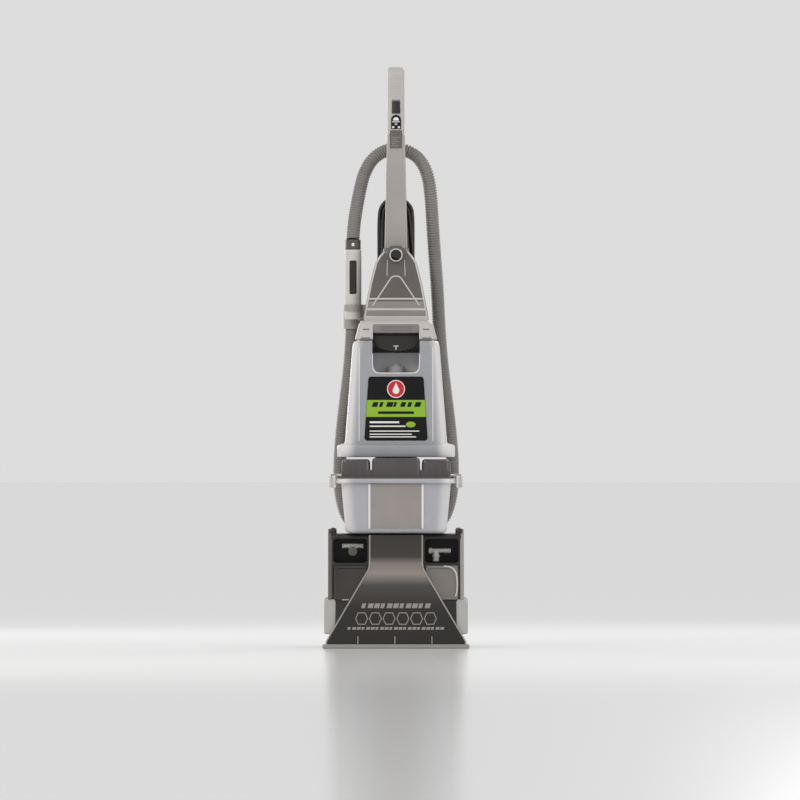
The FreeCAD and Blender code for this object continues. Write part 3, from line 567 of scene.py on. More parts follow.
def makeHose():
    guide = routeCurve("hoseGuide", [tuple(c * mm for c in p) for p in hose["route"]])
    line = routeLine(guide)
    bpy.data.objects.remove(guide)
    tube = ribbedTube("toolHoseRibbed", line, hose["size"] / 2 * mm, hose["ribDepth"] * mm,
                      hose["ribPitch"] * mm, hose["sides"])
    handOver(tube, "toolHoseRibbed", "upright", "pvcHoseGrey", ["tool_hose"], smooth=60)


cord = {"size": 7, "half": 36, "low": 562, "top": 860, "front": 98.5, "layers": 3, "endPoints": 7,
        "ends": ("powerPlug", "powerPlugBlades"), "exit": (26, 109, 573), "plugTop": (26, 128.7, 711)}


def makePowerCord():
    # out of the strain relief, nine turns over both hooks, then down into the plug
    size, half = cord["size"], cord["half"]
    lowZ, topZ = cord["low"] + half, cord["top"] - half
    ex, ey, ez = cord["exit"]
    points = [(ex, ey, ez), (ex, ey, ez + 12), (ex + 1, ey, ez + 30)]
    turnCount = cord["layers"] ** 2
    for turn in range(turnCount):
        column, row = divmod(turn, cord["layers"])
        if column % 2:
            row = cord["layers"] - 1 - row
        radius = half - size * (0.5 + row)
        y = cord["front"] + size * (0.5 + column)
        slack = 0.35 * ((turn * 5) % 3 - 1)
        for side, z0, start in ((1, topZ, 0), (-1, lowZ, pi)):
            for step in range(cord["endPoints"]):
                angle = start + pi * step / (cord["endPoints"] - 1)
                points.append((radius * cos(angle) + slack * 0.4, y + slack * 0.5, z0 + radius * sin(angle)))
            bow = radius * side * -1
            for share in (0.33, 0.66):
                z = topZ + (lowZ - topZ) * (share if side > 0 else 1 - share)
                points.append((bow * 0.985 + slack * side, y + slack, z))
    px, py, pz = cord["plugTop"]
    points = points[:-2] + [(14, 118, 635), (3, 122, 682), (-1, 125, 735), (2, 128, 772), (13, 129, 788),
                            (25, 129, 771), (px, py, 740), (px, py, pz)]
    piece = routeCurve("powerCordWound", [tuple(c * mm for c in p) for p in points])
    line = routeLine(piece)
    piece.data.bevel_depth = size / 2 * mm
    piece.data.bevel_resolution = 3
    piece.data.resolution_u = 3
    piece.data.use_fill_caps = True
    piece.data.materials.append(plastics["pvcCordBlack"])
    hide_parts("power_cord_hank")
    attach(piece, "upright")


# floor unit: suction duct, hood, windows, bumpers, lip

duct = {
    # the front face: height and depth, from the lip up to the tank
    "face": [(2, -200), (8, -197), (40, -183), (80, -163), (120, -139), (150, -120), (165, -113), (190, -112),
             (214, -112)],
    "wall": 3, "gap": 8, "topHalf": 51, "lowHalf": 133, "neckZ": 152, "top": 214,
    "ribs": (-72, -2, 68), "steps": 34,
}


def ductDepth(z):
    # a smooth line through the face's points
    face = duct["face"]
    last = len(face) - 2
    n = max(i for i in range(last + 1) if face[i][0] <= z or i == 0)
    before, a, b, after = face[max(n - 1, 0)], face[n], face[n + 1], face[min(n + 2, last + 1)]
    share = (z - a[0]) / (b[0] - a[0])
    slopeA = (b[1] - before[1]) / (b[0] - before[0]) * (b[0] - a[0])
    slopeB = (after[1] - a[1]) / (after[0] - a[0]) * (b[0] - a[0])
    s2, s3 = share ** 2, share ** 3
    return ((2 * s3 - 3 * s2 + 1) * a[1] + (s3 - 2 * s2 + share) * slopeA
            + (3 * s2 - 2 * s3) * b[1] + (s3 - s2) * slopeB)


def ductBand(front, back):
    # side view of a sheet between two depths behind the duct's face
    heights = [8 + (duct["top"] - 8) * n / duct["steps"] for n in range(duct["steps"] + 1)]
    return [(ductDepth(z) + front, z) for z in heights] + [(ductDepth(z) + back, z) for z in heights[::-1]]


def flareOutline(grow):
    # front view: narrow at the top, easing out to the full width of the lip
    top, low, neck = duct["topHalf"] + grow, duct["lowHalf"] + grow, duct["neckZ"]
    ease = [(top, duct["top"] + 1), (top, neck + 8), (top + 1, neck + 1), (top + 3.2, neck - 5), (low, 13),
            (low, 7)]
    return [(-x, z) for x, z in ease[::-1]] + ease


def keepShared(piece, mould):
    modify(piece, "BOOLEAN", operation="INTERSECT", solver="EXACT", object=mould)
    bpy.data.objects.remove(mould)


def makeDuct():
    front = panel(ductBand(0, duct["wall"]), "x", -160, 160)
    keepShared(front, panel(flareOutline(0), "y", -300, 0))
    rim = panel(ductBand(-1.6, duct["wall"] + duct["gap"]), "x", -160, 160)
    keepShared(rim, panel(flareOutline(0.4), "y", -300, 0))
    cutAway(rim, panel(flareOutline(-2.6), "y", -310, 10))
    roundEdges(rim, 0.7, 2, 50)
    ribSide = [(ductDepth(z) - 1.4, z) for z in (9, 14, 19, 23)] + [(ductDepth(z) + 1, z) for z in (23, 9)]
    ribs = [panel(ribSide, "x", x - 0.8, x + 0.8) for x in duct["ribs"]]
    weld(rim, *ribs)
    # the rim is real; its pale colour is a painted highlight along the bevelled edges, and the ribs welded to
    # it share that colour
    handOver(rim, "nozzleDuctRimPaintedHighlight", "base", "acrylicEdgeHighlightPainted", smooth=40)
    # the front's colour paints its highlight band and its shade by height
    handOver(front, "nozzleDuctFront", "base", "acrylicDuctSmokePaintedLight", ["nozzle_front"], smooth=40)
    back = panel(ductBand(duct["wall"] + duct["gap"], duct["wall"] * 2 + duct["gap"]), "x", -160, 160)
    keepShared(back, panel(flareOutline(-0.5), "y", -300, 0))
    handOver(back, "nozzleDuctBack", "base", "acrylicHoodSmoke", ["nozzle_back"], smooth=40)


lip = {"half": 139, "front": -200, "back": -178, "slotFront": -194, "slotBack": -186, "slotHalf": 129,
       "top": 8}


def makeLip():
    piece = roundedBlock((-lip["half"], lip["front"], 0), (lip["half"], lip["back"], lip["top"]), 2.2, 4)
    cutAway(piece, block((-lip["slotHalf"], lip["slotFront"], -2), (lip["slotHalf"], lip["slotBack"], 20)))
    handOver(piece, "nozzleLip", "base", "absLipGrey", ["nozzle_lip"], smooth=35)


emblem = {"cells": 6, "pitch": 26, "cellLow": 45, "cellHigh": 68,
          "rows": ((76, 85, 66, 11, 2.4), (35.5, 40.5, 92, 21, 1.2))}


def makeEmblem():
    # a plain ornament: a row of outlined six-sided cells between two rows of slanted dashes
    parts = []
    for low, high, half, count, slant in emblem["rows"]:
        step = half * 2 / count
        for n in range(count):
            x = -half + step * n
            width = step * (0.82 if n % 3 else 0.6)
            dash = [(x, low), (x + width, low), (x + width + slant, high), (x + slant, high)]
            parts.append(laidOn(ductDepth, dash, 0.5, 0.6))
    middle, reach = (emblem["cellLow"] + emblem["cellHigh"]) / 2, (emblem["cellHigh"] - emblem["cellLow"]) / 2
    for n in range(emblem["cells"]):
        x = (n - (emblem["cells"] - 1) / 2) * emblem["pitch"]
        outer = [(12.2, 0), (7, reach), (-7, reach), (-12.2, 0), (-7, -reach), (7, -reach)]
        for (x0, z0), (x1, z1) in zip(outer, outer[1:] + outer[:1]):
            side = [(x0, z0), (x1, z1), (x1 * 0.86, z1 * 0.86), (x0 * 0.86, z0 * 0.86)]
            parts.append(laidOn(ductDepth, [(x + a, middle + b) for a, b in side], 0.5, 0.6))
    piece = weld(*parts)
    handOver(piece, "ductOrnament", "base", "vinylTaupeLight", smooth=50)


hood = {"half": 128, "wall": 3, "top": 216, "back": 92, "low": 24, "earTop": 227, "behind": 14.3,
        "upper": (55, 119, 161, 207), "lower": (55, 119, 91, 157)}


def hoodFace(z):
    # the hood's front stands behind the duct's
    return ductDepth(z) + hood["behind"]


def hoodOutline(inset):
    heights = [36, 60, 80, 100, 120, 135, 150, 158, 165, 190]
    front = [(hoodFace(z) + inset, z) for z in heights]
    top = hood["top"] - inset
    return ([(hood["back"] - inset, hood["low"] - inset), (front[0][0], hood["low"] - inset)] + front
            + [(hoodFace(duct["top"]) + inset, top), (hood["back"] - inset, top)])


def makeHood():
    shell = panel(hoodOutline(0), "x", -hood["half"], hood["half"])
    roundEdges(shell, 7, 4, 50)
    cutAway(shell, panel(hoodOutline(hood["wall"]), "x", hood["wall"] - hood["half"],
                         hood["half"] - hood["wall"]))
    for x0, x1, z0, z1 in (hood["upper"], hood["lower"]):
        for side in (1, -1):
            low, high = sorted((x0 * side, x1 * side))
            opening = roundedBlock((low, -200, z0), (high, -60, z1), 7, 4, 50)
            cutAway(shell, opening)
    for side in (1, -1):
        low, high = sorted((90 * side, 140 * side))
        centre = ((low + high) / 2, wheel["y"], wheel["radius"])
        cutAway(shell, barrel(centre, "x", wheel["radius"] + 7, 50, 64))
    cutAway(shell, block((-140, 62, -10), (140, 160, 60)))
    ears = []
    for side in (1, -1):
        low, high = sorted((113 * side, 126 * side))
        ear = roundedBlock((low, -96, hood["top"] - 12), (high, 84, hood["earTop"]), 5, 4)
        ears.append(ear)
    weld(shell, *ears)
    handOver(shell, "hoodShell", "base", "acrylicHoodSmoke", ["hood_shell"], smooth=40)


def makeHoodEdges():
    # painted highlights along the hood's two rounded sides, curving up into the ears: a bright copy on the
    # right, a dim one on the left
    for name, side, finishName in (("Right", 1, "acrylicEdgeHighlightPainted"), ("Left", -1, "acrylicEdgeDimHighlightPainted")):
        low, high = sorted((121.5 * side, 128.8 * side))
        face = hoodOutline(0)[4:12] + [(-97, 205), (-94, 216), (-84, 226)]
        edge = panel([(y - 1.2, z) for y, z in face] + [(y + 7, z - 1) for y, z in face[::-1]], "x", low,
                     high)
        roundEdges(edge, 1.8, 3, 50)
        handOver(edge, "hoodEdgePaintedHighlight" + name, "base", finishName, smooth=40)


def makeWindowEdge():
    # a painted highlight along the rounded outer edge of the right-hand window
    line = [(92, 156), (102, 155), (110, 151), (115, 144), (117, 134), (117.5, 120), (117, 108), (114.5, 98)]
    inner = [(x - 2.6, z - 1.8) for x, z in line[:-1]] + [(111.5, 98)]
    strips = []
    for n in range(len(line) - 1):
        strips.append(laidOn(hoodFace, [line[n], line[n + 1], inner[n + 1], inner[n]], 1.7, 1.2))
    handOver(weld(*strips), "turbineCoverEdgePaintedHighlight", "base", "acrylicPaleHighlightPainted", smooth=50)


fitting = {"y": -88, "teeZ": 184, "knobZ": 183, "knobX": -82}


def makeFittings():
    y, z = fitting["y"], fitting["teeZ"]
    parts = [barrel((83, y, z), "x", 4, 42, 28), barrel((76, y, z - 10), "z", 6, 20, 28),
             barrel((76, y, z - 10), "z", 7.6, 3, 28), barrel((65, y, z), "x", 6, 6, 28)]
    parts += [ring((x, y, z), "x", 4.2, 1, 28, 8) for x in (70, 94, 100)]
    parts.append(barrel((84, y - 3, z), "y", 2.4, 6, 20))
    weld(*parts)
    roundEdges(parts[0], 0.4, 2, 50)
    handOver(parts[0], "solutionValveTee", "base", "acetalGrey", ["solution_valve"], smooth=35)
    x = fitting["knobX"]
    parts = [barrel((-82, y, z + 9), "x", 4.4, 36, 28), barrel((-72, y + 15, z + 9), "y", 4, 30, 28)]
    for side in (-1, 1):
        for tilt in (-0.32, 0.32):
            arm = barrel((0, 0, 0), "x", 1.8, 17, 16)
            arm.rotation_euler = (0, tilt * side, 0)
            arm.location = ((x + side * 12) * mm, (y - 5) * mm, (z + 9) * mm)
            settle(arm)
            parts.append(arm)
    handOver(weld(*parts), "solutionElbowPipe", "base", "acetalGrey", ["solution_elbow"],
             smooth=35)
    knob = barrel((x, y + 1, fitting["knobZ"]), "y", 9, 14, 48)
    roundEdges(knob, 1.4, 3)
    for n in range(12):
        angle = n * pi / 6
        cutAway(knob, barrel((x + 9.6 * cos(angle), y - 3, fitting["knobZ"] + 9.6 * sin(angle)), "y", 1.5,
                             12, 12))
    handOver(knob, "solutionFlowKnob", "base", "absCharcoalSoft", smooth=35)


def makeWindow(name, node, side, finishName):
    # a bent clear panel with a rounded outer corner and a thin lip all round
    x0, x1, z0, z1 = hood["lower"]
    heights = [z0 + 1 + (z1 - z0 - 2) * n / 10 for n in range(11)]
    outline = [(hoodFace(z), z) for z in heights]
    outline += [(y + 3, z) for y, z in outline[::-1]]
    low, high = sorted(((x0 + 0.8) * side, (x1 - 0.8) * side))
    pane = panel(outline, "x", low, high)
    mould = roundedBlock((low, -220, z0 + 1), (high, -60, z1 - 1), 8, 5, 50)
    keepShared(pane, mould)
    rim = panel([(y - 1.4, z) for y, z in outline[:11]] + [(y + 0.5, z) for y, z in outline[:11][::-1]],
                "x", low + 1, high - 1)
    inner = roundedBlock((low + 5, -230, z0 + 6), (high - 5, -50, z1 - 6), 5, 4, 50)
    cutAway(rim, inner)
    weld(pane, rim)
    handOver(pane, name, "base", finishName, [node], smooth=40)


bumper = {"half": 136, "low": 27, "top": 94, "back": 60, "wrap": 114}


def makeBumpers():
    low, top = bumper["low"], bumper["top"]
    front = [(hoodFace(z) - 5, z) for z in (low, 50, 75, top - 6)] + [(hoodFace(top) + 2, top)]
    nose = panel(front + [(-128, top), (-128, low)], "x", bumper["wrap"], bumper["half"])
    roundEdges(nose, 4, 4, 40)
    side = roundedBlock((124, -134, low), (bumper["half"], bumper["back"], top), 4, 4)
    weld(nose, side)
    for z in (44, 60, 76):
        groove = block((bumper["half"] - 0.7, -120, z - 0.8), (bumper["half"] + 1, 50, z + 0.8))
        cutAway(nose, groove)
    smoothPiece(nose)
    left = mirrorPiece(nose)
    handOver(nose, "sideBumperRight", "base", "rubberBumper", ["side_bumper_right"])
    handOver(left, "sideBumperLeft", "base", "rubberBumper", ["side_bumper_left"])


# floor unit: wheels and brushes

wheel = {"radius": 50, "width": 24, "inner": 103, "y": 118, "treads": 40}


def makeWheels():
    middle = wheel["inner"] + wheel["width"] / 2
    tyre = barrel((middle, wheel["y"], wheel["radius"]), "x", wheel["radius"] - 0.8, wheel["width"], 80)
    roundEdges(tyre, 4, 4)
    cutAway(tyre, barrel((middle, wheel["y"], wheel["radius"]), "x", 36, wheel["width"] + 4, 64))
    lugs = []
    for n in range(wheel["treads"]):
        lug = block((-wheel["width"] / 2 + 4, -1.1, wheel["radius"] - 1.6),
                    (wheel["width"] / 2 - 4, 1.1, wheel["radius"]))
        lug.rotation_euler = (2 * pi * n / wheel["treads"], 0, 0)
        lug.location = (middle * mm, wheel["y"] * mm, wheel["radius"] * mm)
        settle(lug)
        lugs.append(lug)
    weld(tyre, *lugs)
    smoothPiece(tyre)
    hub = barrel((middle, wheel["y"], wheel["radius"]), "x", 36.2, wheel["width"] - 5, 64)
    roundEdges(hub, 1.5, 3)
    for n in range(5):
        angle = 2 * pi * n / 5
        place = (middle + 10, wheel["y"] + 23 * cos(angle), wheel["radius"] + 23 * sin(angle))
        cutAway(hub, barrel(place, "x", 7.5, 12, 24))
    cutAway(hub, barrel((middle, wheel["y"], wheel["radius"]), "x", 4.2, 60, 32))
    smoothPiece(hub)
    for name, piece, finishName, slotName in (("Tyre", tyre, "rubberTyre", "tyre"),
                                              ("Hub", hub, "absCharcoal", "charcoal")):
        left = mirrorPiece(piece)
        replaced = ["wheel_right"] if name == "Tyre" else []
        handOver(piece, "wheelRight" + name, "wheel_right", finishName, replaced)
        replaced = ["wheel_left"] if name == "Tyre" else []
        handOver(left, "wheelLeft" + name, "wheel_left", finishName, replaced)


brush = {"pitch": 44, "y": -100, "teeth": 22, "gearLow": 38, "gearHigh": 46, "low": 3,
         "tuftRings": ((7, 5), (13, 9), (18, 12))}


def gearOutline(x, phase):
    points = []
    for tooth in range(brush["teeth"]):
        for radius, share in ((19.8, -0.30), (23.6, -0.13), (23.6, 0.13), (19.8, 0.30)):
            angle = (tooth + phase + share) * 2 * pi / brush["teeth"]
            points.append((x + radius * cos(angle), brush["y"] + radius * sin(angle)))
    return points


def makeBrush(number):
    x = brush["pitch"] * (number - 3)
    gear = panel(gearOutline(x, 0.5 * (number % 2)), "z", brush["gearLow"], brush["gearHigh"])
    disc = barrel((x, brush["y"], brush["gearLow"] - 2), "z", 19, 5, 40)
    shaft = barrel((x, brush["y"], brush["gearHigh"] + 6), "z", 4, 14, 24)
    weld(gear, disc, shaft)
    roundEdges(gear, 0.4, 1, 50)
    handOver(gear, "brushGear%d" % number, "brush_%d" % number, "acetalWhite", ["brush_%d" % number],
             smooth=35)
    tufts = []
    for ringRadius, count in brush["tuftRings"]:
        for n in range(count):
            angle = 2 * pi * (n + 0.13 * number) / count
            tufts.append(barrel((x + ringRadius * cos(angle), brush["y"] + ringRadius * sin(angle),
                                 (brush["low"] + brush["gearLow"] - 2) / 2), "z", 2.2,
                                brush["gearLow"] - brush["low"] - 2, 10, 1.5))
    handOver(weld(*tufts), "brushTufts%d" % number, "brush_%d" % number, "nylonBristle",
             smooth=50)


makeDuct()
makeLip()
makeEmblem()
makeHood()
makeHoodEdges()
makeWindowEdge()
makeFittings()
makeWindow("windowPanelLeft", "window_panel", -1, "acrylicWindowDark")
makeWindow("turbineCoverRight", "turbine_cover", 1, "acrylicWindowLight")
makeBumpers()
makeWheels()
for number in range(1, 6):
    makeBrush(number)
print("floor unit ready")


# recovery tank, riser duct, lid, latches and float

recovery = {"corner": 16, "rimLow": 312, "front": -116, "lean": 6, "low": 217}


def recoveryFront(z):
    share = (z - recovery["low"]) / (recovery["rimLow"] - recovery["low"])
    return recovery["front"] - recovery["lean"] * share


def makeRecoveryTank():
    tank = stack([(217, 84, -104, 52), (217.8, 90, -110, 58), (220, 94, -114, 62), (224, 96, -116, 64),
                  (232, 96.7, -116.6, 64.6), (306, 103.5, -121.5, 69.5), (311.5, 104, -122, 70),
                  (312.2, 111, -127, 72),
                  (313.5, 114, -130, 73), (319.5, 114, -130, 73), (321, 112.5, -128.5, 71.5)],
                 recovery["corner"], 7)
    inner = stack([(219.5, 90, -110, 58), (223, 93.6, -113.5, 61.5), (312, 101.5, -119.5, 67.5),
                   (323, 102.5, -120.5, 68.5)], 13, 7)
    cutAway(tank, inner)
    cutAway(tank, block((-44, -108, 214), (44, -102, 222)))
    for z in (240, 262, 284):
        cutAway(tank, block((-150, 30, z), (-101, 50, z + 1.2)))
    handOver(tank, "recoveryTank", "recovery", "polypropyleneTank", ["recovery_tank"],
             smooth=35)


def makeRiser():
    # the duct inside the tank, and the smoked strip of the front wall before it
    ductPiece = roundedBlock((-48, -112, 219.5), (48, -97, 321), 3, 3)
    cutAway(ductPiece, block((-46, -110, 210), (46, -99, 330)))
    heights = (226, 250, 275, 300, 311)
    outline = [(recoveryFront(z) - 0.9, z) for z in heights] + [(recoveryFront(z) + 0.4,
                                                                 z) for z in heights[::-1]]
    strip = panel(outline, "x", -48.5, 48.5)
    roundEdges(strip, 0.5, 2, 50)
    smoothPiece(ductPiece)
    smoothPiece(strip)
    handOver(ductPiece, "riserDuct", "recovery", "acrylicClearSmoke", ["riser_duct"])
    handOver(strip, "riserWindow", "recovery", "acrylicRiserSmoke")
    beads = []
    for side in (1, -1):
        beadSide = [(recoveryFront(z) - 1.7, z) for z in heights] + outline[len(heights):]
        bead = panel(beadSide, "x", side * 50.5 - 2.2, side * 50.5 + 2.2)
        roundEdges(bead, 1, 3, 50)
        beads.append(bead)
    handOver(weld(*beads), "riserBeads", "recovery", "polypropyleneWhite", smooth=35)


shutOff = {"x": 72, "y": 20, "cageRadius": 17, "cageWall": 2}


def makeRecoveryLid():
    lid = stack([(321.2, 110, -126, 69), (322, 111, -127, 70), (325, 111, -127, 70),
                 (326, 109.5, -125.5, 68.5)], 14, 6)
    pods = [stack([(325, 46, -118, 60), (354, 45.4, -117.4, 59.4), (358, 44.5, -116.5, 58.5),
                   (359.8, 41, -113, 55)], 6, 4)]
    for side in (1, -1):
        pod = stack([(325, 27.5, -116, 58), (350, 27, -115.6, 57.6), (355, 26, -114.6, 56.6),
                     (357.5, 22.5, -111.5, 53.5)], 8, 4)
        pod.location.x = side * 76 * mm
        settle(pod)
        pods.append(pod)
    hollows = (((-43, -115, 316), (43, 57, 354.5)), ((53, -113, 316), (99, 55, 347.5)),
               ((-99, -113, 316), (-53, 55, 347.5)))
    plinth = stack([(325, 104, -116, 58), (336, 103.4, -115.4, 57.4), (337.5, 102, -114, 56)], 6, 4)
    for low, high in hollows:
        cutAway(plinth, block(low, high))
    for low, high in (((-54, -111, 316), (-42, 53, 334)), ((42, -111, 316), (54, 53, 334))):
        cutAway(plinth, block(low, high))
    for pod, (low, high) in zip(pods, hollows):
        cutAway(pod, block(low, high))
        cutAway(lid, block(low, high))
    weld(lid, plinth, *pods)
    x, y, radius = shutOff["x"], shutOff["y"], shutOff["cageRadius"]
    cage = barrel((x, y, 285), "z", radius, 74, 40)
    cutAway(cage, barrel((x, y, 286), "z", radius - shutOff["cageWall"], 80, 40))
    for n in range(6):
        slot = block((-3, -20, -22), (3, 0, 22))
        slot.rotation_euler = (0, 0, n * pi / 3)
        slot.location = (x * mm, y * mm, 276 * mm)
        settle(slot)
        cutAway(cage, slot)
    weld(lid, cage, ring((x, y, 249.5), "z", 13.2, 3.6, 40, 8))
    for x in (-88, -76, -64, 64, 76, 88):
        weld(lid, block((x - 0.8, -117, 329), (x + 0.8, -114.5, 341)))
    handOver(lid, "recoveryLid", "recovery", "acrylicLidSmoke", ["recovery_lid"], smooth=35)


def makeLatches():
    for name, side in (("Right", 1), ("Left", -1)):
        low, high = sorted((side * 114.3, side * 126))
        bar = roundedBlock((low, -122, 304), (high, -100, 327), 2.6, 4)
        low, high = sorted((side * 103, side * 124))
        tab = roundedBlock((low, -120, 326.3), (high, -102, 329.8), 1.2, 3)
        for z in (308, 312, 316):
            cutAway(bar, block((side * 126 - 0.9, -118, z), (side * 126 + 0.9, -104, z + 1.4)))
        weld(bar, tab)
        handOver(bar, "lidLatch" + name, "latch_" + name.lower(), "acrylicLatchClear",
                 ["lid_latch_" + name.lower()], smooth=40)


def makeFloat():
    middle = (shutOff["x"], shutOff["y"], 269)
    bulb = barrel(middle, "z", 14.2, 33.6, 48)
    roundEdges(bulb, 3.5, 4)
    weld(bulb, barrel(middle, "z", 14.35, 4, 48))
    handOver(bulb, "shutOffFloat", "float", "acetalWhite", ["tank_float"], smooth=35)


# solution tank and its label

solution = {"low": 361, "top": 583, "frontLow": -76, "frontTop": -62}


def solutionFront(z):
    share = (z - solution["low"]) / (solution["top"] - solution["low"])
    return solution["frontLow"] + (solution["frontTop"] - solution["frontLow"]) * share


def makeSolutionTank():
    tank = stack([(361.5, 108, -84, 48), (362.2, 111, -87, 49.6), (364, 112, -88, 50), (381, 112, -88, 50),
                  (384, 110.5, -86.5, 49.6), (386, 105, -81, 49.6), (387.5, 98.5, -75, 50),
                  (391, 97, -74.1, 50),
                  (571, 82.9, -62.8, 50), (578, 81.4, -61.4, 49), (581.5, 78.6, -58.6, 46.5),
                  (583, 74, -54, 42)],
                 15, 7)
    notch = roundedBlock((-45, -200, 522), (45, 200, 620), 11, 5)
    cutAway(tank, notch)
    inner = stack([(364, 108, -84, 46), (381, 108.5, -84.5, 46.5), (388, 95.5, -72, 47),
                   (576, 79.6, -59.6, 46.5), (580.4, 75, -55, 43)], 12, 6)
    saddle = roundedBlock((-48, -210, 519), (48, 210, 630), 12, 5)
    cutAway(inner, saddle)
    cutAway(tank, inner)
    cutAway(tank, barrel((0, -8, 521), "z", 14, 10, 40))
    handOver(tank, "solutionTank", "solution", "polypropyleneMilky", ["solution_tank"],
             smooth=35)
    # the saddle's rear wall stands behind the filler cap
    saddleWall = roundedBlock((-44.6, 12, 521.5), (44.6, 14, 560), 0.6, 2)
    # one half of the saddle's pale rim, mirrored for the other
    half = [(45.6, 557), (45.6, 535), (44, 527), (39, 521.6), (33, 520.4)]
    rimFace = [(-x, z) for x, z in half] + half[::-1]
    edges = []
    for (x0, z0), (x1, z1) in zip(rimFace, rimFace[1:]):
        side = [(x0, z0), (x1, z1), (x1 * 0.965, z1 + 1.6), (x0 * 0.965, z0 + 1.6)]
        edges.append(laidOn(solutionFront, side, 0.8, 1.4))
    handOver(weld(*edges), "saddleRim", "solution", "polypropyleneWhite")
    handOver(saddleWall, "saddleWall", "solution", "polypropyleneWhite")
    # the bright moulded seam round the front
    bead = panel([(solutionFront(z) - 1, z) for z in (392, 570)] + [(solutionFront(z) + 1, z) for z in (570,
                                                                                                        392)],
                 "x", 69, 71)
    beadTwin = copyPiece(bead)
    beadTwin.location.x = -140 * mm
    settle(beadTwin)
    weld(bead, beadTwin)
    roundEdges(bead, 0.5, 2)
    handOver(bead, "tankSeams", "solution", "polypropyleneWhite", smooth=35)


label = {"low": 393, "high": 514.5, "halfLow": 60, "halfHigh": 52.5, "corner": 5}


def labelHalf(z):
    share = (z - label["low"]) / (label["high"] - label["low"])
    return label["halfLow"] + (label["halfHigh"] - label["halfLow"]) * share


def makeLabel():
    low, high = label["low"], label["high"]
    r = label["corner"]
    outline = [(-labelHalf(low) + r, low), (labelHalf(low) - r, low), (labelHalf(low) - 1.4, low + 1.4),
               (labelHalf(low), low + r), (labelHalf(high), high - r), (labelHalf(high) - 1.4, high - 1.4),
               (labelHalf(high) - r, high), (-labelHalf(high) + r, high),
               (-labelHalf(high) + 1.4, high - 1.4),
               (-labelHalf(high), high - r), (-labelHalf(low), low + r), (-labelHalf(low) + 1.4, low + 1.4)]
    base = laidOn(solutionFront, outline, 0.9, 0.9)
    handOver(base, "labelCard", "solution", "vinylBlack", ["tank_label"])
    band = laidOn(solutionFront, [(-labelHalf(438) + 0.4, 438), (labelHalf(438) - 0.4, 438),
                                  (labelHalf(470) - 0.4, 470), (-labelHalf(470) + 0.4, 470)], 1.1, 0.25)
    handOver(band, "labelBand", "solution", "vinylGreen")
    rim = laidOn(solutionFront, circle(0, 491, 17, 17, 48), 1.2, 0.25)
    handOver(rim, "labelRing", "solution", "vinylWhite")
    disc = laidOn(solutionFront, circle(0, 491, 15.4, 15.4, 48), 1.4, 0.25)
    handOver(disc, "labelDisc", "solution", "vinylRed")
    turnsOfDrop = [pi * (0.68 - 1.36 * n / 16) for n in range(17)]
    drop = [(0, 503)] + [(6.4 * sin(a), 488 - 6.4 * cos(a)) for a in turnsOfDrop]
    whites = [laidOn(solutionFront, drop, 1.6, 0.25)]
    # plain bars stand in for the printed lines: left, right, low, high
    for x0, x1, z0, z1 in ((-50, 6, 426, 429.5), (-50, 18, 419, 421.5), (-50, 44, 410, 412),
                           (-50, 30, 404, 406), (-50, 38, 399, 401)):
        whites.append(laidOn(solutionFront, [(x0, z0), (x1, z0), (x1, z1), (x0, z1)], 1.1, 0.2))
    handOver(weld(*whites), "labelWhitePrint", "solution", "vinylWhite")
    darks = []
    for n, width in enumerate((13, 9, 15, 8, 12, 10, 14)):
        x = -46 + n * 13.4
        darks.append(laidOn(solutionFront, [(x, 457), (x + width - 3, 457), (x + width, 466), (x + 3, 466)],
                            1.3, 0.2))
    darks.append(laidOn(solutionFront, [(-34, 443.5), (34, 443.5), (34, 448.5), (-34, 448.5)], 1.3, 0.2))
    handOver(weld(*darks), "labelDarkPrint", "solution", "vinylBlack")
    badge = laidOn(solutionFront, circle(28, 423.5, 9, 5.5, 24), 1.2, 0.25)
    handOver(badge, "labelBadge", "solution", "vinylGreen")


makeRecoveryTank()
makeRiser()
makeRecoveryLid()
makeLatches()
makeFloat()
makeSolutionTank()
makeLabel()
print("tanks ready")


# upright: frame, shoulders, tank handle and latch

def makeFrame():
    cap = stack([(585, 77, -51, 75), (586.5, 78, -52, 75), (600, 74.4, -49.5, 75), (611, 71.6, -47.6, 75),
                 (616, 69.6, -46.2, 74.6), (619, 66.5, -43.5, 73), (620, 62, -39, 70)], 12, 6)
    recess = roundedBlock((-44, -70, 580), (44, -8, 614), 5, 4)
    cutAway(cap, recess)
    back = roundedBlock((-70, 52, 368), (70, 75, 590), 2, 2)
    cutAway(back, block((-62, 40, 378), (62, 55, 520)))
    parts = [back]
    for y in (17, 47):
        fence = roundedBlock((-60, y, 614), (60, y + 4, 630), 1.6, 3)
        parts.append(fence)
    weld(cap, *parts)
    # the parting line of the shoulders with its two small slots
    for side in (1, -1):
        slot = block((side * 58 - 9, -60, 586.8), (side * 58 + 9, -44, 588.6))
        cutAway(cap, slot)
        pad = block((side * 57 - 6, -60, 603), (side * 57 + 6, -44.6, 605.4))
        cutAway(cap, pad)
    handOver(cap, "uprightFrame", "upright", "absShoulderGrey", ["upright_frame"], smooth=35)
    bar = roundedBlock((-44, -50, 597), (44, -38, 614), 3.2, 4)
    for z in (602, 605.5, 609):
        cutAway(bar, block((-30, -50.8, z), (30, -49.2, z + 1)))
    handOver(bar, "tankHandleBar", "upright", "absBarGrey", ["tank_handle"], smooth=35)


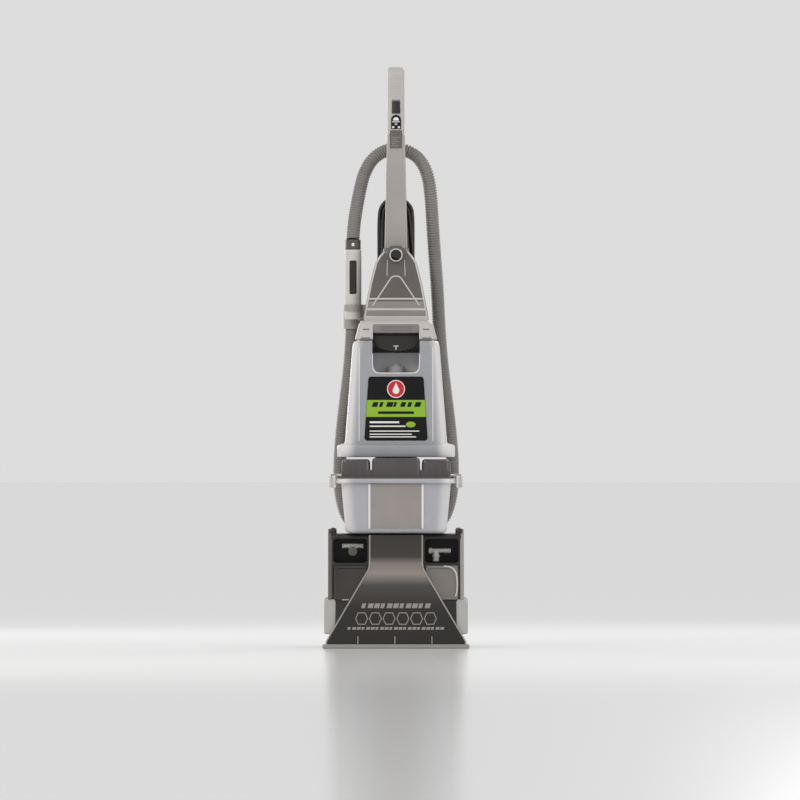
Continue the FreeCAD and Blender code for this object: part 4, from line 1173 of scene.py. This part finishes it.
def makeTankLatch():
    smile = [(-43, 594), (-43, 585)]
    smile += [(-43 * cos(pi * n / 14), 585 - 23 * sin(pi * n / 14) ** 0.8) for n in range(1, 14)]
    smile += [(43, 585), (43, 594)]
    button = panel(smile, "y", -36.6, -11.4)
    roundEdges(button, 1.6, 3, 50)
    dish = barrel((0, -37.6, 580), "y", 24, 4, 40)
    dish.scale = (1.25, 1, 0.36)
    settle(dish)
    dish.location.z = 580 * mm * (1 - 0.36)
    settle(dish)
    cutAway(button, dish)
    handOver(button, "tankLatch", "tank_button", "absCharcoal", ["tank_latch"], smooth=40)
    # a raised tee shows which way to push
    mark = block((-5, -37.4, 571.4), (5, -36, 573.6))
    stem = block((-1.4, -37.4, 565.5), (1.4, -36, 572))
    weld(mark, stem)
    roundEdges(mark, 0.4, 2)
    handOver(mark, "tankLatchMark", "tank_button", "absShoulderGrey")


# upright: spine, screws, neck

def makeSpine():
    low = block((-40, 100, 95), (40, 124, 232))
    high = block((-40, 75, 228), (40, 124, 550))
    boss = barrel((0, 118, 95), "x", 18, 80, 64)
    weld(low, high)
    roundEdges(low, 5, 4, 50)
    cutAway(low, block((-37, 103, 121), (37, 121, 236)))
    cutAway(low, block((-37, 78, 233), (37, 121, 547)))
    weld(low, boss)
    cutAway(low, barrel((0, 118, 95), "x", 5.05, 100, 40))
    for x in (-24, -12, 0, 12, 24):
        vent = roundedBlock((x - 2.6, 122.6, 180), (x + 2.6, 126, 222), 1.2, 2)
        cutAway(low, vent)
    for z in (262, 420):
        cutAway(low, block((-41, 123.2, z), (41, 126, z + 1.2)))
    handOver(low, "spineHousing", "upright", "absHandleGrey", ["spine_housing"], smooth=35)
    heads = []
    for z in (150, 330, 510):
        for x in (-28, 28):
            head = barrel((x, 124.9, z), "y", 4, 1.8, 24)
            roundEdges(head, 0.5, 2)
            for turn in (0, pi / 2):
                cross = block((-2.6, 125, -0.5), (2.6, 127, 0.5))
                cross.rotation_euler = (0, turn, 0)
                cross.location = (x * mm, 0, z * mm)
                settle(cross)
                cutAway(head, cross)
            heads.append(head)
    handOver(weld(*heads), "housingScrews", "upright", "steelTurned", ["housing_screws"], smooth=35)


def makeNeck():
    neck = stack([(620.2, 47, 60, 95), (650, 42.1, 60, 95), (700, 33.9, 60, 95), (740, 27.4, 60, 95),
                  (754, 25, 60, 95), (759, 24, 61, 94), (760, 22.6, 62.6, 92.6)], 7, 5)
    cutAway(neck, stack([(618, 43.5, 63, 92), (735, 24, 63, 92), (757, 20.5, 64, 91)], 4, 3))
    root = roundedBlock((-38, 75, 550), (38, 95, 622), 2.5, 3)
    hookArm = block((-8, 92, 587), (8, 124.5, 598))
    hookLip = block((-5, 120.5, 566), (5, 124.5, 598))
    for piece in (hookArm, hookLip):
        roundEdges(piece, 1.4, 3)
    panelLine = stack([(640, 33, 59.2, 66), (735, 18, 59.2, 66), (742, 14, 59.2, 66)], 4, 4)
    weld(neck, root, hookArm, hookLip, panelLine)
    handOver(neck, "neckHousing", "upright", "absNeckGrey", ["neck_housing"], smooth=35)


# handle, grip and controls

handle = {"split": 75}


def makeHandle():
    sections = [(760, 22, 60, 92), (800, 21.1, 60.4, 91.6), (975, 17, 62, 90)]
    for name, low, high in (("Front", 0, handle["split"] - 0.25), ("Rear", handle["split"] + 0.25, 200)):
        shell = stack(sections, 7, 6)
        cutAway(shell, stack([(750, 19.6, 62.6, 89.4), (985, 14.4, 64.6, 87.4)], 4.5, 4))
        keepShared(shell, block((-60, low, 700), (60, high, 1100)))
        if name == "Rear":
            arm = block((-10, 88, 926), (10, 128, 934))
            hookLip = block((-10, 125.5, 926), (10, 129, 944))
            for piece in (arm, hookLip):
                roundEdges(piece, 1.2, 3)
            weld(shell, arm, hookLip)
        handOver(shell, "handle" + name + "Shell", "upright", "absHandleGrey",
                 ["handle_" + name.lower() + "_shell"], smooth=35)
    # the painted highlights down the sides and the plain taupe label under the grip
    plate = block((-11.5, 60.9, 950), (11.5, 62.6, 974.5))
    collar = panel([(61.4, 975.4), (61.2 + 9.6 * 12 / 65, 984.6), (62.8 + 9.6 * 12 / 65, 984.6),
                    (62.8, 975.4)],
                   "x", -11.5, 11.5)
    weld(plate, collar)
    roundEdges(plate, 0.5, 2)
    handOver(plate, "handleLabel", "upright", "vinylTaupe")
    bars = [block((-8.4, 60.6, z), (w - 8.4, 61.2, z + 1.5))
            for z, w in ((970, 16), (966, 11), (962, 15), (958, 9), (954, 14))]
    handOver(weld(*bars), "handleLabelBars", "upright", "vinylTaupeLight")
    # painted highlights: lighter strips on the radius down both sides of the front shell
    strips = []
    for side in (1, -1):
        strip = panel([(side * 21.2, 762), (side * 20.3, 800), (side * 16.2, 973), (side * 14.6, 973),
                       (side * 18.6, 800), (side * 19.4, 762)], "y", 60.9, 63.5)
        for corner in strip.data.vertices:
            corner.co.y += (corner.co.z - 0.76) / 0.215 * 0.0016
        roundEdges(strip, 0.6, 2)
        strips.append(strip)
    handOver(weld(*strips), "handleSideStripsPaintedHighlight", "upright", "absGripGrey", smooth=40)


grip = {"half": 16, "ridges": 9, "ridgeLow": 1049, "ridgePitch": 4.9}


def gripFace(z):
    # depth of the grip's front at a height
    front = [(975, 62), (1040, 74), (1096, 90), (1105, 98), (1106, 108)]
    for (z0, y0), (z1, y1) in zip(front, front[1:]):
        if z <= z1:
            return y0 + (y1 - y0) * (z - z0) / (z1 - z0)
    return front[-1][1]


def makeGrip():
    outline = [(62, 975), (74, 1040), (83, 1071), (90, 1096), (93.4, 1101.5), (98, 1104.6), (103.5, 1105.9),
               (109, 1105.4), (113.6, 1102.4), (116, 1097.6), (115.8, 1092), (114, 1084), (107, 1062),
               (100, 1040), (95, 1010), (92, 990), (90, 975)]
    solid = panel(outline, "x", -grip["half"], grip["half"])
    roundEdges(solid, 5.5, 5, 50)
    cutAway(solid, block((-7.5, 79, 984), (7.5, 130, 1052)))
    rockerRoom = block((-8, 50, 1016), (8, 77, 1043))
    cutAway(solid, rockerRoom)
    for n in range(grip["ridges"]):
        z = grip["ridgeLow"] + n * grip["ridgePitch"]
        y = gripFace(z)
        groove = barrel((0, y - 0.35, z), "x", 1.15, 40, 12)
        cutAway(solid, groove)
    pin = barrel((0, 89, 1042), "x", 2, 24, 20)
    weld(solid, pin)
    handOver(solid, "handleGrip", "upright", "absGripGrey", ["handle_grip"], smooth=35)


def makeControls():
    rocker = panel([(67.6, 1018.4), (68.6, 1025), (70.6, 1029.5), (71.4, 1034), (71.9, 1040.6), (75.4, 1039),
                    (75.4, 1020)], "x", -7.3, 7.3)
    keepShared(rocker, roundedBlock((-7.3, 60, 1018), (7.3, 80, 1041), 3, 4))
    roundEdges(rocker, 0.6, 2, 50)
    for z in (1022, 1036):
        tick = barrel((0, gripFace(z) - 3.4, z), "y", 1.8, 1.6, 20)
        cutAway(rocker, tick)
    handOver(rocker, "powerRocker", "rocker", "absCharcoal", ["power_rocker"], smooth=40)
    heights = (987, 1014)
    outline = [(gripFace(z) - 1.4, z) for z in heights] + [(gripFace(z), z) for z in heights[::-1]]
    plate = panel(outline, "x", -9.5, 9.5)
    crown = [(9.5 * cos(pi * n / 12), 1004.5 + 9.5 * sin(pi * n / 12)) for n in range(1, 12)]
    arch = [(-9.5, 980), (9.5, 980), (9.5, 1004)] + crown + [(-9.5, 1004)]
    keepShared(plate, panel(arch, "y", 40, 90))
    roundEdges(plate, 0.4, 2, 50)
    dial = barrel((0, gripFace(1004) - 1.5, 1004.5), "y", 6.6, 1.2, 32)
    weld(plate, dial)
    handOver(plate, "controlPlate", "upright", "vinylBlack", ["control_plate"], smooth=40)
    # the dial's pale pointer and scale
    face = gripFace(1004.5) - 2.3
    marks = [panel([(-5.6, 1003), (5.6, 1003), (4.8, 1006.5), (2.6, 1009.2), (-2.6, 1009.2), (-4.8, 1006.5)],
                   "y", face - 0.2, face + 0.4)]
    for x0, x1, z0, z1 in ((-7.5, -3.4, 988.5, 992), (3.4, 7.5, 988.5, 992), (-7.5, 7.5, 1000, 1001.4)):
        y = gripFace(z0) - 1.4
        marks.append(block((x0, y - 0.5, z0), (x1, y + 0.6, z1)))
    handOver(weld(*marks), "controlMarks", "upright", "vinylWhite", smooth=35)


makeFrame()
makeTankLatch()
makeSpine()
makeNeck()
makeHandle()
makeGrip()
makeControls()
print("upright ready")


# upholstery hand grip, collar and trigger

handGrip = {"x": -82, "y": 76, "radius": 16, "low": 624, "top": 757}


def makeHandGrip():
    x, y = handGrip["x"], handGrip["y"]
    body = barrel((x, y, (handGrip["low"] + handGrip["top"]) / 2), "z", handGrip["radius"],
                  handGrip["top"] - handGrip["low"], 56)
    roundEdges(body, 1.6, 3)
    slot = roundedBlock((x - 6.8, y - 20, 672), (x + 6.8, y - 3, 736), 2.5, 3)
    cutAway(body, slot)
    for z in (631, 664, 748):
        groove = ring((x, y, z), "z", handGrip["radius"], 0.5, 56, 6)
        cutAway(body, groove)
    lock = barrel((x + 0.5, y - 15.4, 712 + 26), "y", 2, 2, 20)
    pinDot = barrel((x, y - 15.4, 652 + 12), "y", 2.2, 1.6, 20)
    weld(body, lock, pinDot)
    handOver(body, "handGripBody", "upright", "absHoseGripGrey", ["hand_grip"], smooth=35)
    lever = roundedBlock((x - 6.4, y - 16.5, 673), (x + 6.4, y - 8, 735), 2.2, 4)
    for n in range(5):
        cutAway(lever, block((x - 7, y - 17.5, 684 + n * 4), (x + 7, y - 15.9, 685.6 + n * 4)))
    handOver(lever, "handGripTrigger", "hose_trigger", "absCharcoal", ["grip_trigger"], smooth=35)
    collar = barrel((x, y, 766.5), "z", 14.6, 19, 56)
    roundEdges(collar, 1.2, 3)
    rings = [ring((x, y, z), "z", 14.3, 0.8, 56, 8) for z in (760, 773)]
    weld(collar, *rings)
    cutAway(collar, block((x - 3, y - 18, 763), (x + 3, y - 13.4, 770)))
    handOver(collar, "gripCollar", "upright", "absCharcoalSoft", ["grip_collar"], smooth=35)
    tag = roundedBlock((x - 2.6, y - 14.6, 763.4), (x + 2.6, y - 13, 769.6), 0.5, 2)
    handOver(tag, "gripCollarCatch", "upright", "vinylWhite")


# the clear hand tool in its cradle


def makeHandTool():
    sections = [(622, 62, 22, 46), (626, 62, 22, 46.2), (640, 59.6, 21.8, 46.6), (690, 50, 21, 50),
                (716, 43.6, 21.5, 52),
                (732, 39.2, 22, 53), (744, 32, 22.8, 53), (753, 24, 24, 53), (760, 15.5, 25.3, 53),
                (764, 9, 27, 51.6)]
    shell = stack(sections, 4, 4)
    inside = [(z - (1 if z == 622 else 0) - (2.5 if z > 750 else 0), half - 2.6, front + 2.5, back - 2.5)
              for z, half, front, back in sections]
    cutAway(shell, stack(inside, 2.5, 3))
    socket = barrel((0, 16.5, 746), "y", 13, 17, 56)
    roundEdges(socket, 1.2, 3)
    for part in (shell, socket):
        cutAway(part, barrel((0, 18, 746), "y", 10, 32, 48))
    weld(shell, socket)
    handOver(shell, "handToolShell", "hand_tool", "acrylicToolSmoke", ["hand_tool"], smooth=35)
    # the suction channel down its middle; the pale trims after it are real walls and ribs whose colour paints
    # the light they catch
    channel = panel([(-9.5, 736), (-10, 716), (-44, 652), (44, 652), (10, 716), (9.5, 736)], "y", 25, 40)
    roundEdges(channel, 2, 3, 50)
    cutAway(channel, panel([(-7, 742), (-7.4, 714), (-40, 650.4), (40, 650.4), (7.4, 714), (7, 742)], "y",
                           22, 38))
    handOver(channel, "handToolChannel", "hand_tool", "absBarGrey", smooth=35)
    trims = []
    # ribs on the front face, their pale colour a painted highlight: half width, low, high, depth in front
    for half, low, high, front in ((57.5, 661, 664.5, 20.6), (59, 640.5, 645, 20.8), (60.6, 629, 633, 21.4)):
        rib = roundedBlock((-half + 4, front, low), (half - 4, front + 2, high), 0.7, 2)
        trims.append(rib)
    # the pale borders and lines along the clear walls are painted highlights
    for side in (1, -1):
        border = [(61.4, 623), (49.2, 690), (38.6, 732), (31.4, 744), (23.4, 753), (20.2, 752), (28.4, 742),
                  (35.4, 731), (46, 689), (58.2, 623)]
        edge = panel([(side * x, z) for x, z in border], "y", 20.4, 23.2)
        roundEdges(edge, 0.8, 2, 50)
        trims.append(edge)
        for line, near, far in (([(10, 704), (46, 650), (43, 650), (8.4, 702)], 20.2, 21.6),
                                ([(17, 737), (18, 706), (16.6, 706), (15.6, 737)], 20.8, 22.4)):
            trims.append(panel([(side * x, z) for x, z in line], "y", near, far))
    apex = [(-10, 704), (-5, 707), (5, 707), (10, 704), (8, 702), (4, 704.6), (-4, 704.6), (-8, 702)]
    trims += [panel(apex, "y", 20, 21.4), ring((0, 8.3, 746), "y", 11.5, 1.1, 48, 8)]
    handOver(weld(*trims), "handToolTrimsPaintedHighlight", "hand_tool", "acrylicPaleHighlightPainted", smooth=35)
    band = panel([(-56, 625), (-54.4, 658), (54.4, 658), (56, 625)], "y", 21.2, 22.4)
    roundEdges(band, 0.4, 2)
    handOver(band, "handToolBand", "hand_tool", "acrylicBandSmoke")


# plug and the small metal parts

def makePlug():
    shell = roundedBlock((15, 119.7, 664), (37, 137.7, 700), 4, 4)
    neck = barrel((26, 128.7, 705), "z", 5, 12, 32, 4)
    weld(shell, neck)
    for z in (671, 676, 681, 686):
        for x in (15, 37):
            cutAway(shell, block((x - 0.8, 123, z), (x + 0.8, 134.4, z + 2)))
    for z in (702.5, 706, 709.5):
        cutAway(shell, ring((26, 128.7, z), "z", 5, 0.6, 32, 6))
    handOver(shell, "powerPlug", "upright", "pvcCordBlack", ["power_plug"], smooth=35)
    blades = []
    for x in (19.25, 32.75):
        blade = roundedBlock((x - 0.75, 125.7, 646), (x + 0.75, 131.7, 665), 0.5, 2)
        cutAway(blade, barrel((x, 128.7, 650), "x", 1.4, 6, 16))
        blades.append(blade)
    handOver(weld(*blades), "powerPlugBlades", "upright", "steelTurned", smooth=35)


makeHandGrip()
makeHandTool()
makePlug()
print("hand tool and plug ready")
makeHose()
makePowerCord()
print("cords ready")


# the solids that stay as they are get their finish

kept = {
    "absChassisBlack": ["base_chassis", "brush_block"],
    "absCharcoal": ["suction_motor", "fan_housing", "release_pedal", "solution_trigger"],
    "steelTurned": ["wheel_axle", "pivot_pin"],
    "acetalWhite": ["turbine_rotor", "fan_impeller"],
    "polypropyleneTank": ["filler_cap"],
    "acetalGrey": ["turbine_housing"],
    "absHandleGrey": ["cord_hook_upper", "grip_clip", "hose_port", "mode_slider"],
    "pvcCordBlack": ["strain_relief"],
}


def dressKept():
    for finishName, names in kept.items():
        for name in names:
            activate(nodes[name])
            nodes[name].data.materials.clear()
            nodes[name].data.materials.append(plastics[finishName])
            smoothPiece(nodes[name], 30)
    clearSelection()


dressKept()
print("kept nodes dressed")
